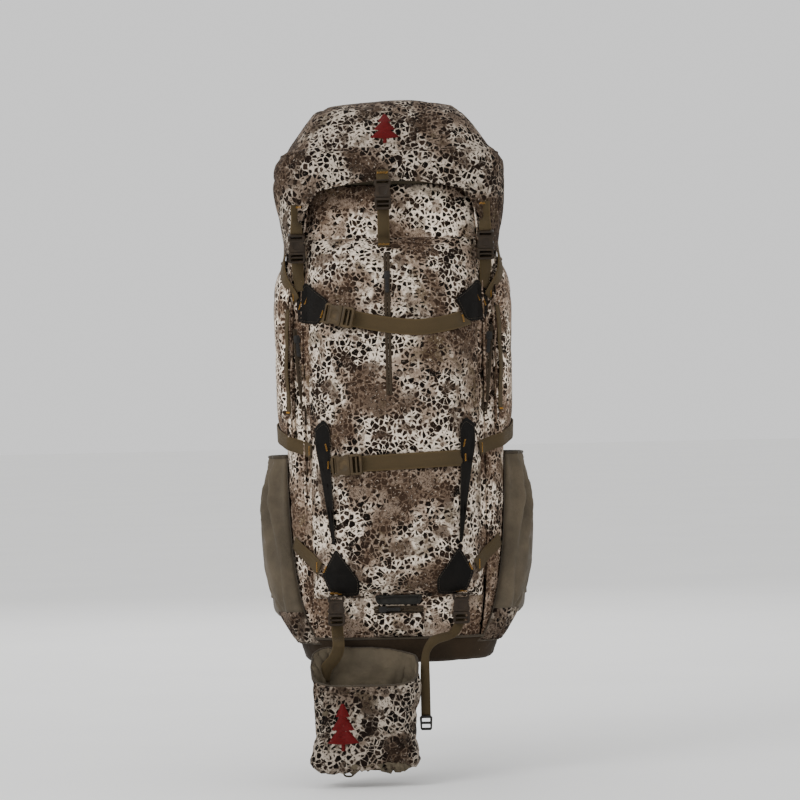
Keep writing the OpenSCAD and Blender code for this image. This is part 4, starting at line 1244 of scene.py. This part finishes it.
def build_zips():
    """The zips, and the stitches beside them on the pack."""
    tapes, sewn = [], []
    side_zip = [(122 - 11 * f + 1.5 * math.sin(math.pi * f), 411 - 115 * f) for f in np.linspace(0, 1, 22)]
    for points, width in (
        ([(-6, z) for z in np.linspace(502, 326, 30)], 7),
        (side_zip, 8),
        ([(-x, z) for x, z in side_zip], 8),
        ([(x, STOW_ZIP_Z) for x in np.linspace(31, -31, 16)], 8),
    ):
        path = np.array([front_at(x, z, 0.7, 3) for x, z in points])
        across = unit(np.cross(np.gradient(path, axis=0), FRONT))
        for s in SIDES:
            tapes.append(strap(path + across * s * (width / 4 + 0.25), across, width / 2, 1.0))
            sewn += dashes(path + across * s * (width / 2 - 1) + FRONT * 0.75)
    add("zip_bands", tapes, TAPE, PACK, ("zip_tapes",))
    for node, at, along in (
        ("front_zip_pull", front_at(-6, 474, 2.5, 4), face_at(-6, 474, 0) - face_at(-6, 440, 0)),
        ("left_zip_pull", front_at(-121, 398, 3.6, 4), (-11, 0, 111)),
        ("right_zip_pull", front_at(121, 398, 3.6, 4), (11, 0, 111)),
        ("stow_zip_pull", front_at(-20, STOW_ZIP_Z, 3.1, 4), (-1, 0, 0)),
    ):
        hardware(node + "_form", placed(SLIDER, at, along, FRONT), node, (node,), PLASTIC_BLACK)

    def lid_back(x, out):
        return skin_lid.hit((x, 100, 652), FRONT) + BACK * out

    path = np.array([lid_back(x, 0.7) for x in np.linspace(-64, 64, 24)])
    lid_tape = [strap(path + UP * s * 2.3, UP, 4, 1.0) for s in SIDES]
    add("lid_zip_band", lid_tape, TAPE, "lid", ("lid_zip",))
    pull = placed(SLIDER, lid_back(-40, 2.5), (-1, 0, 0), BACK)
    hardware("lid_zip_pull_form", pull, "lid_zip_pull", ("lid_zip_pull",), PLASTIC_BLACK)
    return sewn


UPPER_PATCH = [(79, 444), (93, 415), (118, 419), (121, 442), (115, 461), (108, 470), (98, 459)]
MIDDLE_PATCH = [(77, 140), (81, 140), (95, 235), (100, 262), (100, 288), (88, 297), (81, 286), (81, 240)]
LOWER_PATCH = [(49, 76), (67, 75), (86, 80), (95, 103), (85, 121), (77, 136), (48, 95)]
LABEL = [(-27, 63), (27, 63), (30.5, 75.5), (-30.5, 75.5)]


def build_patches():
    """The black patches and the blank label, and the patches' stitches."""
    parts, sewn = [], []
    for corners in (UPPER_PATCH, MIDDLE_PATCH, LOWER_PATCH):
        for s in SIDES:
            part, line = patch_parts([(s * x, z) for x, z in corners][::s], clear_at)
            parts.append(part)
            sewn += dashes(line, 2.4, 3.6, 0.25)
    add("hypalon_patches", parts, PATCH, PACK, ("strap_patches",))
    label, line = patch_parts(LABEL, lambda x, z, out: front_at(x, z, out, 1), 2.2)
    rim = tube(line[:-1] + FRONT * 0.3, 0.7, 6, True)
    add("rubber_label", [label, rim], RUBBER, PACK, ("label_patch",))
    return sewn


def build_webbing():
    tacks, side, tabs, lid_tacks = [], [], [], []
    # Cross straps, each from patch to patch, whose ends dive under the patches.
    upper = [(-94, 428), (-87, 427.6), (-79, 427), (-62, 424), (-44, 420), (-20, 415), (6, 411), (30, 409), (54, 411),
             (74, 415), (81, 417), (88, 419), (95, 421)]
    lower = [(-90, 240), (-83, 240), (-75, 240), (-58, 240), (-38, 241), (-14, 242), (12, 243), (36, 244), (60, 245),
             (75, 245.4), (83, 245.7), (90, 246)]
    cross = [lay([front_at(x, z, 2.2 - 2.4 * smooth(edge - 8, edge + 4, abs(x)), 9) for x, z in path], FRONT, 20)
             for path, edge in ((upper, 88), (lower, 82))]
    add("cross_webbing", cross, WEBBING, PACK, ("cross_straps",))
    for x, z, lean in ((-88, 428, 3), (88, 419, -2), (-84, 240, 0), (87, 246, 0), (-86, 262, -2), (86, 264, 2),
                       (-108, 446, 4), (108, 446, -4), (-116, 440, 3), (116, 440, -3), (-91, 110, 4), (91, 110, -4)):
        tacks.append(bartack(front_at(x, z, 4.4, 9), (lean, 0, 9), ACROSS))
    # Side compression webbing and the upright gear webbing: where each runs from and to.
    runs = (((172, 524), (144, 446), 14, 2.2), ((214, 293), (127, 256), 26, 2.6), ((153, 142), (120, 110), 14, 2.8))
    for s in SIDES:
        for start, end, n, out in runs:
            places = [np.array(start) + np.subtract(end, start) * f for f in np.linspace(0, 1, n)]
            path = eased([side_at(t if s < 0 else 180 - t, z, out, 9) for t, z in places], 2)
            away = level_out(path)
            side.append(lay(path, away, 18))
            tacks.append(bartack(path[-2] + unit(away[-2]) * 1.5, UP, path[-1] - path[-3], 12))
        path = []
        for z in np.linspace(436, 304, 20):
            t = 151 + 2.5 * math.sin((436 - z) / 40)
            path.append(side_at(t if s < 0 else 180 - t, z, 1.8, 4))
        away = level_out(np.array(path))
        side.append(lay(path, away, 10, 1.6))
        tacks.append(bartack(path[-1] + unit(away[-1]) * 1.3 + UP * 2, np.cross(away[-1], UP), UP, 9))
    add("side_webbing", side, WEBBING, PACK, ("side_straps",))
    tacks += [bartack(front_at(s * 78, 79, 2.4, 3), (1, 0, -0.1), UP, 14, 2.4, 17) for s in SIDES]
    # Webbing the lid's clips ride on.
    x = FRONT_MOUTH[0]
    path = [(x, -235.5, 571), (x, -235.5, 548), *[front_at(x, z, 2.2) for z in (530, 520, 511)]]
    path[2][1] = min(path[2][1], -234.5)
    clip_webbing = [lay(path, FRONT, 15)]
    tacks.append(bartack(front_at(x, 513.5, 3.6), ACROSS, UP, 13, 2.4, 15))
    for s in SIDES:
        down = [SIDE_MOUTH * mirror(s) + LEAN_DIR * d + BACK * 2.4 for d in (0, 14, 26)]
        path = [*down, front_at(s * 117, 474, 4.2, 3), front_at(s * 116, 458, 3.4, 3)]
        turn = [(s * x, -1, 0) for x in (0, 0, 0.2, 0.55, 0.65)]
        clip_webbing.append(lay(path, turn, 15))
    add("lid_clip_webbing", clip_webbing, WEBBING_THIN, PACK, ("clip_webbing",))
    # The boot's two straps cross its hinge.
    y, back = BOOT_MOUTH[1] + 3, BOOT_Y + 8
    left = [(-78, y, 50), (-77.5, y, 36), (-77, y, 25), (-76, back, 18), (-77, back + 1, 8), (-82, back + 2, -2),
            (-92, back + 5, -14), (-96, back + 8, -30)]
    right = [(78, y, 50), (74, y, 36), (66, y, 25), (44, back, 19), (34.5, back + 1, 8), (31.5, back, -8),
             (31, back, -30), (31, back, -76)]
    hangers = add("boot_webbing", [lay(left, FRONT, 15), lay(right, FRONT, 12)], WEBBING_THIN, None)
    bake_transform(hangers)
    loop = ((-73.5, -137), (-73, -144), (-70, -147.2), (-63, -147.2), (-60, -144), (-59.5, -137))
    loop = strap([(x, BOOT_Y, z) for x, z in loop], BACK, 9, 1.5, 1.5)
    add("boot_floor_loop", loop, WEBBING_THIN, "boot", ("boot_straps",))
    low, high = cad("boot_lock")
    lock = placed(LADDER[10], ((low[0] + high[0]) / 2, high[1], high[2] - 0.6), DOWN, FRONT)
    hardware("boot_lock_form", lock, "boot", ("boot_lock",), PLASTIC_BLACK)
    # Tabs above the lid's sockets, and its two rear straps.
    tabs.append(lay([(x, -233.6, 607), (x, -234.6, 599), (x, -238.5, 594), (x, -241, 590.8)], FRONT, 15))
    lid_tacks.append(bartack((x, -236.0, 603), ACROSS, UP, 13, 2.4, 15))
    for s in SIDES:
        top = [skin_lid.front(s * 118, z, 1.4, -222) for z in (566, 556, 546)]
        path = [*top, (s * 118, -227, 538), SIDE_MOUTH * mirror(s) - LEAN_DIR * 20 + SIDE_OUT * 4]
        tabs.append(lay(path, [(-s * x, -1, 0) for x in (0.5, 0.5, 0.5, 0.25, 0)], 15))
        lid_tacks.append(bartack(top[0] + [-s * 0.8, -1.4, -3], (1, s * 0.5, 0), UP, 12, 2.4, 13))
    add("lid_tabs", tabs, WEBBING_THIN, "lid", ("lid_straps",))
    bend = ((-27.2, 545), (-26.5, 575), (-25.6, 590), (LID_REAR + 1.6, 604), (LID_REAR + 1.6, 626))
    rear = [lay([(s * 35, y, z) for y, z in bend], BACK, 20) for s in SIDES]
    rear = add("lid_rear_straps", rear, WEBBING, None)
    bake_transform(rear)
    add("bartacks", tacks, THREAD, PACK)
    add("lid_bartacks", lid_tacks, THREAD, "lid")


build_buckles()
seam_threads = build_zips() + build_patches()
build_webbing()


# ---- collar, cord and sleeve ----
CORD_Z = 614


def build_collar():
    t = around(240)
    a = np.radians(t)
    ruffle = np.sin(a * 46 + 2 * np.sin(a * 7))
    rows = []
    for z in spread(BAG_H - 4, 622, 2.4):
        f = (z - BAG_H) / 32
        rows.append(level(t, z, -1.2 - 20 * smooth(-0.1, 1.1, f) + 1.3 * smooth(0.1, 0.6, f) * ruffle))
    collar = shell(np.array(rows), 1.0, inside(600, -118), True)
    add("collar_cloth", collar, OLIVE, PACK, ("collar",))
    hem = tube(level(t, CORD_Z + 0.5 * np.sin(a * 40), -12.0), 2.3, 8, True)
    add("collar_hem", hem, BINDING, PACK)
    cords = []
    for s in SIDES:
        tail = [(s * 5, -192.5, CORD_Z), *((s * 1.5, y, CORD_Z) for y in (-195.5, -198, -205, -215, -226))]
        cords.append(tube(catmull(tail, 2), 1.2, 8))
        turn = np.radians(around(14))
        knot = xyz(s * 2.8 + 1.6 * np.cos(turn), -227.4 + np.sin(2 * turn), CORD_Z + 1.6 * np.sin(turn))
        cords.append(tube(knot, 1.15, 7, True))
    cords.append(tube(level(t, CORD_Z, -9.6), 0.9, 6, True))
    add("drawcord", cords, CORD, PACK, ("collar_drawcord",))
    low, high = cad("hydration_sleeve")
    x, z = np.meshgrid(spread(low[0], high[0], 6), spread(low[2], high[2], 8))
    y = high[1] - 0.4 - 5 * np.maximum(0, 1 - (x / high[0]) ** 2) ** 0.6 * smooth(low[2], low[2] + 60, z)
    sleeve = xyz(x, y + 0.8 * waves(xyz(x, 0, z), 50, 71), z)
    add("sleeve_cloth", shell(sleeve, 1.2, inside(240, 100)), OLIVE, PACK, ("hydration_sleeve",))


# ---- padding ----
def pad(centres, halves, depths, n=3.0, m=44, crown=0.0, channels=()):
    """A stuffed pad swept along centres; halves reach its edges and depths reach its faces."""
    c = np.asarray(centres, float)
    h, q = np.broadcast_to(halves, c.shape), np.broadcast_to(depths, c.shape)
    a = np.radians(around(m))
    far = travelled(c)
    tip = np.linalg.norm(q, axis=1).mean() * 1.5
    bulge = 1 + crown * (1 - np.abs(np.cos(a)) ** 2)
    rings = []
    for k, along in enumerate(far):
        taper = (1 - max(0, 1 - min(along, far[-1] - along) / tip) ** 2.6) ** (1 / 2.6)
        wide = 1 - (1 - taper) * 0.28
        taper = 0.12 + 0.88 * taper
        for place, depth in channels:
            taper *= 1 - depth * bell(along - place, 3.2)
        across, out = rounded(np.cos(a), n) * wide, rounded(np.sin(a), n) * taper * bulge
        rings.append(c[k] + np.outer(across, h[k]) + np.outer(out, q[k]))
    return loft(rings), [c + s * h for s in SIDES]


def padded(name, part, material, body, replaces=()):
    """A piece that is a stuffed pad."""
    obj = add(name, part, material, body, replaces)
    return obj


SHOULDER = [(46, -20, 492), (47, -4, 505), (48, 16, 517), (52, 42, 526), (58, 68, 518), (66, 86, 490), (74, 92, 450),
            (84, 90, 400), (95, 80, 340), (104, 62, 285), (108, 48, 255)]
SHOULDER_HALF = [30, 30, 31, 32, 32, 32, 31, 30, 28, 26, 23]
LIFTER = [(56, 50, 530), (57, 40, 540), (58, 30, 547), (60, 0, 562), (62, -20, 573), (62, -29.4, 577)]
LOWER_STRAP = [(110, 44, 250), (111, 34, 237), (114, 14, 215), (117, -20, 178), (117, -40, 152), (117, -48, 140)]
STERNUM_RAIL = [(78, 91, 480), (78, 93.8, 474), (78, 93.8, 388), (78, 91, 382)]
STRAP_END = [(110, 46, 247), (113, 30, 226), (122, 16, 206), (124, 8, 180), (122, 4, 150)]
HIP = [(77, 2), (108, 4), (138, 14), (160, 40), (170, 80), (166, 120), (150, 155), (128, 182)]
HIP_LOW = [34, 32, 32, 34, 38, 43, 48, 52]
HIP_HIGH = [128, 130, 130, 126, 120, 112, 104, 98]
BELT = [(137, 174), (114, 203), (88, 221), (62, 233), (46, 238)]
BRIDGE = [(62, -9), (70, -7), (78, 0), (86, 6), (94, 9.5)]


def build_shoulders():
    """The shoulder pads and all the harness webbing; gives back the pads' bindings and bartacks."""
    bindings, webbing, tacks, locks = [], [], [], []
    path = eased(catmull(SHOULDER, 6), 4)
    half = np.interp(np.linspace(0, 10, len(path)), range(11), SHOULDER_HALF)
    along = np.gradient(path, axis=0)
    out = unit(np.cross(ACROSS, along))
    picks = [*range(10, len(path) - 3, 3), len(path) - 1]
    for s, name in HANDS:
        flip = mirror(s)
        part, edges = pad((path - out * 6.2) * flip, np.outer(half - 1, (s, 0, 0)), out * 6.0 * flip, 3.4, 48,
                          channels=[(60, 0.14), (330, 0.14)])
        padded(name + "_shoulder_pad", part, MESH, PACK, (name + "_shoulder_strap",))
        bindings += [tube(e[2:-2], 1.9) for e in edges]
        top = [*(path + out * 0.6)[picks], path[-1] + (1.2, -5.5, -12)] * flip
        webbing.append(lay(top, out[[*picks, -1]] * flip, 20, 1.6))
        for k in range(14, len(path) - 8, 14):
            tacks.append(bartack((path[k] + out[k] * 2.0) * flip, ACROSS, along[k] * flip, 17, 2.2, 19))
        webbing += [lay(LIFTER * flip, (0, 0.4, 1), 20), lay(LOWER_STRAP * flip, (0, 0.6, 0.5), 20),
                    lay(STERNUM_RAIL * flip, BACK, 15, 1.4), lay(STRAP_END * flip, (0.5, 0.8, 0), 20, 1.6)]
        tacks.append(bartack((s * 117, -41, 158), ACROSS, UP, 17, 2.4, 17))
        tacks += [bartack((s * 78, 94.8, z), ACROSS, UP, 13, 2, 13) for z in (474, 388)]
        locks.append(placed(LADDER[20], (s * 56, 50, 527), (0, 1, -0.31), (0, 0.31, 1)))
        locks.append(placed(LADDER[20], (s * 108, 46, 253), (0, -0.65, -0.9), (0, 1, -0.7)))
    add("harness_straps", webbing, WEBBING, PACK, ("harness_webbing",))
    hardware("harness_locks", locks, PACK, ("ladder_locks",))
    # Haul loop of doubled webbing, sewn down at its feet.
    arch = [(-24 * math.cos(a), -26 + 30 * math.sin(a), 556 + 14 * math.sin(a))
            for a in np.linspace(0.12, math.pi - 0.12, 15)]
    arch = [(-30, -27, 553), *arch, (30, -27, 553)]
    loops = [strap(arch, (0, 0.25, 1), 16 - 4 * k, 2.4, lift=-0.6 + 1.6 * k) for k in (0, 1)]
    add("haul_loop_webbing", loops, WEBBING_THIN, PACK, ("haul_loop",))
    return bindings, tacks


def build_back():
    """A cover over the frame, two upper pads and the lumbar pad; gives back their bindings."""
    x, z = np.meshgrid(spread(-107, 107, 2.5), spread(24, 586, 6))
    square = hump(x / 108, 8) * hump((z - 305) / 282, 24)
    y = BACK_Y + 0.3 + 5.2 * square**0.6
    y = y - 0.7 * creases(xyz(x, y, z), 60, 611) * square - 1.2 * bell(np.abs(x) - 6, 4) * square
    # Two sleeves hold the stays.
    sleeve = smooth(41, 47, np.abs(x)) * smooth(81, 75, np.abs(x)) * smooth(24, 32, z) * smooth(586, 577, z)
    cover = xyz(x, np.maximum(y, BACK_Y + 0.3 + 6.4 * sleeve), z)
    add("frame_cover", sheets(cover, xyz(x, BACK_Y + 0.1, z)), PAD_CLOTH, PACK)
    bindings, uppers = [tube(edge_loop(cover), 1.5, 8, True)], []
    for s in SIDES:
        centre = xyz(s * 55.0, BACK_Y + 15.2, spread(157, 469, 5))
        part, edges = pad(centre, (40.0, 0, 0), (0, 8.4, 0), 4.5, 60, 0.02, [(78, 0.34), (156, 0.34), (234, 0.34)])
        uppers.append(part)
        bindings += [tube(e[1:-1] + [-0.6 * s, 0, 0], 1.8) for e in edges]
    padded("back_pads_upper", uppers, MESH, PACK)
    lumbar, edges = pad(xyz(0, BACK_Y + 18, spread(-6, 141, 4)), (71.0, 0, 0), (0, 11.6, 0), 4.5, 72,
                        channels=[(50, 0.26), (98, 0.26)])
    padded("lumbar_pad", lumbar, MESH, PACK, ("back_pads",))
    return bindings + [tube(e[1:-1], 1.9) for e in edges]


def build_hips():
    rows = [(x, y, low) for (x, y), low in zip(HIP, HIP_LOW)]
    fine = eased(catmull(rows, 6), 3)
    share, stops = np.linspace(0, 1, len(fine)), np.linspace(0, 1, len(HIP))
    high, low = np.interp(share, stops, HIP_HIGH), np.interp(share, stops, HIP_LOW)
    path = xyz(fine[:, 0], fine[:, 1], (low + high) / 2)
    along = np.gradient(path, axis=0)
    inward = unit(np.cross(UP, along * [1, 1, 0]))
    half = np.outer((high - low) / 2 - 1, UP)
    for s, name in HANDS:
        body, flip = name + "_hip", mirror(s)
        part, edges = pad((path + inward * 7) * flip, half, inward * 6.8 * flip, 3.6, 54,
                          channels=[(70, 0.2), (140, 0.2)])
        padded(name + "_hip_pad", part, PAD_CLOTH, body, (name + "_hip_wing",))
        add(name + "_hip_binding", [tube(e[1:-1], 1.9) for e in edges], BINDING, body)
        picks = range(8, len(path) - 2, 3)
        outside = [(path[k] - inward[k] * 0.8) * flip * [1, 1, 0] + UP * (78 - 3 * k / len(path)) for k in picks]
        belt = [lay(outside, -inward[picks] * flip, 38, 2), lay([(s * x, y, 75) for x, y in BELT], BACK, 38, 2)]
        add(name + "_belt", belt, WEBBING_BELT, body, (name + "_hip_webbing",))
        tacks = [bartack((path[k] - inward[k] * 2.4) * flip, UP, along[k] * flip, 34, 2.4, 31)
                 for k in (10, len(path) - 8)]
        add(name + "_hip_bartacks", tacks, THREAD, body)
        # The cloth that joins the wing to the lumbar pad.
        bridge = eased(catmull([(s * x, y, 80) for x, y in BRIDGE], 3), 2)
        outward = unit(np.cross(np.gradient(bridge, axis=0), UP))
        part, _ = pad(bridge, (0, 0, 41.0), outward * 5.0, 4, 40)
        obj = padded(name + "_hip_bridge", part, PAD_CLOTH, None)
        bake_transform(obj)
    socket = placed(SOCKET[38], (-50 + 20 * 0.951, 240 + 6.5 * 0.951, 75.0), (20, 6.5, 0), BACK)
    hardware("hip_socket", socket, "left_hip", ("hip_buckle",))
    hardware("hip_clip_form", placed(CLIP[38], (38, 244, 75), (20, -6.5, 0), BACK), "right_hip", ("hip_clip",))


def build_sternum():
    y, z = 99.9, 430
    runs = (((-88, 0), (-60, 0.4), (-21, 0)), ((3, 0), (40, 0.4), (88, 0)), ((-84, 1.9), (-60, 2.2), (-44, 1.9)))
    parts = [strap([(x, y + out, z) for x, out in run], UP, 15, 1.6) for run in runs]
    add("sternum_webbing", parts, WEBBING_THIN, "sternum", ("sternum_strap",))
    base = solid(both_sides([(-12, -5.5), (-10.5, -7), (10.5, -7), (12, -5.5)]), 0, 2.4)
    plate = moulded(base, [block(-8.4, -6.6, -5, 5, -1, 4), block(6.6, 8.4, -5, 5, -1, 4)], 0.4)
    parts = [placed(plate, (s * 78, 95, z), ACROSS, BACK) for s in SIDES]
    mouth = ((0, 99.4, z), ACROSS, BACK)
    hardware("sternum_sliders", [*parts, placed(SOCKET[15], *mouth)], "sternum", ("sternum_hardware",))
    hardware("sternum_clip_form", placed(CLIP[15], *mouth), "sternum_clip", ("sternum_clip",))


def build_threads():
    """Stitched seams and the two embroidered trees."""
    add("stitching", seam_threads, STITCH, PACK)
    t = spread(8, 172, 1.0)
    line = []
    for a, b, c in xyz(*ring(t, LID_HALF, LID_FRONT, LID_REAR), skirt_low(t) + 6):
        b += 127
        p = skin_lid.hit((a * 1.6, b * 1.6 - 127, c), (-a * 0.6, -b * 0.6, 0))
        if p is not None:
            line.append(p + [p[0] * 0.002, -0.35, 0])
    add("lid_stitching", dashes(line), STITCH, "lid")
    emblem = tree((-5, 660), (32, 38), lambda x, z, out: skin_lid.front(x, z, out, LID_FRONT))
    add("lid_emblem", emblem, RED_THREAD, "lid")

    def on_boot(x, z, out):
        return skin_boot.front(x, z, out, BOOT_LOW[1])

    add("boot_emblem", tree((-72, -84), (34, 58), on_boot), RED_THREAD, "boot")
    line = [on_boot(BOOT_X + x, -43 + 2.5 * (1 - (x / 66) ** 2), 0.35) for x in np.linspace(-60, 60, 50)]
    add("boot_stitching", dashes(line), STITCH, "boot")
    rim = [(x, BOOT_HIGH[2] - 6 - abs(x) * 0.06) for x in (-22, 47)]
    tacks = [bartack((BOOT_X + x, BOOT_Y + BOOT_HALF_D - 4.5, z), ACROSS, UP, 10, 2.2, 11) for x, z in rim]
    add("boot_bartacks", tacks, THREAD, "boot")


build_collar()
pad_bindings, harness_tacks = build_shoulders()
pad_bindings += build_back()
add("pad_bindings", pad_bindings, BINDING, PACK)
add("harness_bartacks", harness_tacks, THREAD, PACK)
build_hips()
build_sternum()
build_threads()

for node, mat in (("cord_lock", PLASTIC_BLACK), ("cord_lock_button", PLASTIC), ("frame_sheet", FRAME_SHEET),
                  ("frame_stays", ALLOY)):
    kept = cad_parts[node].data.materials
    kept.clear()
    kept.append(mat)
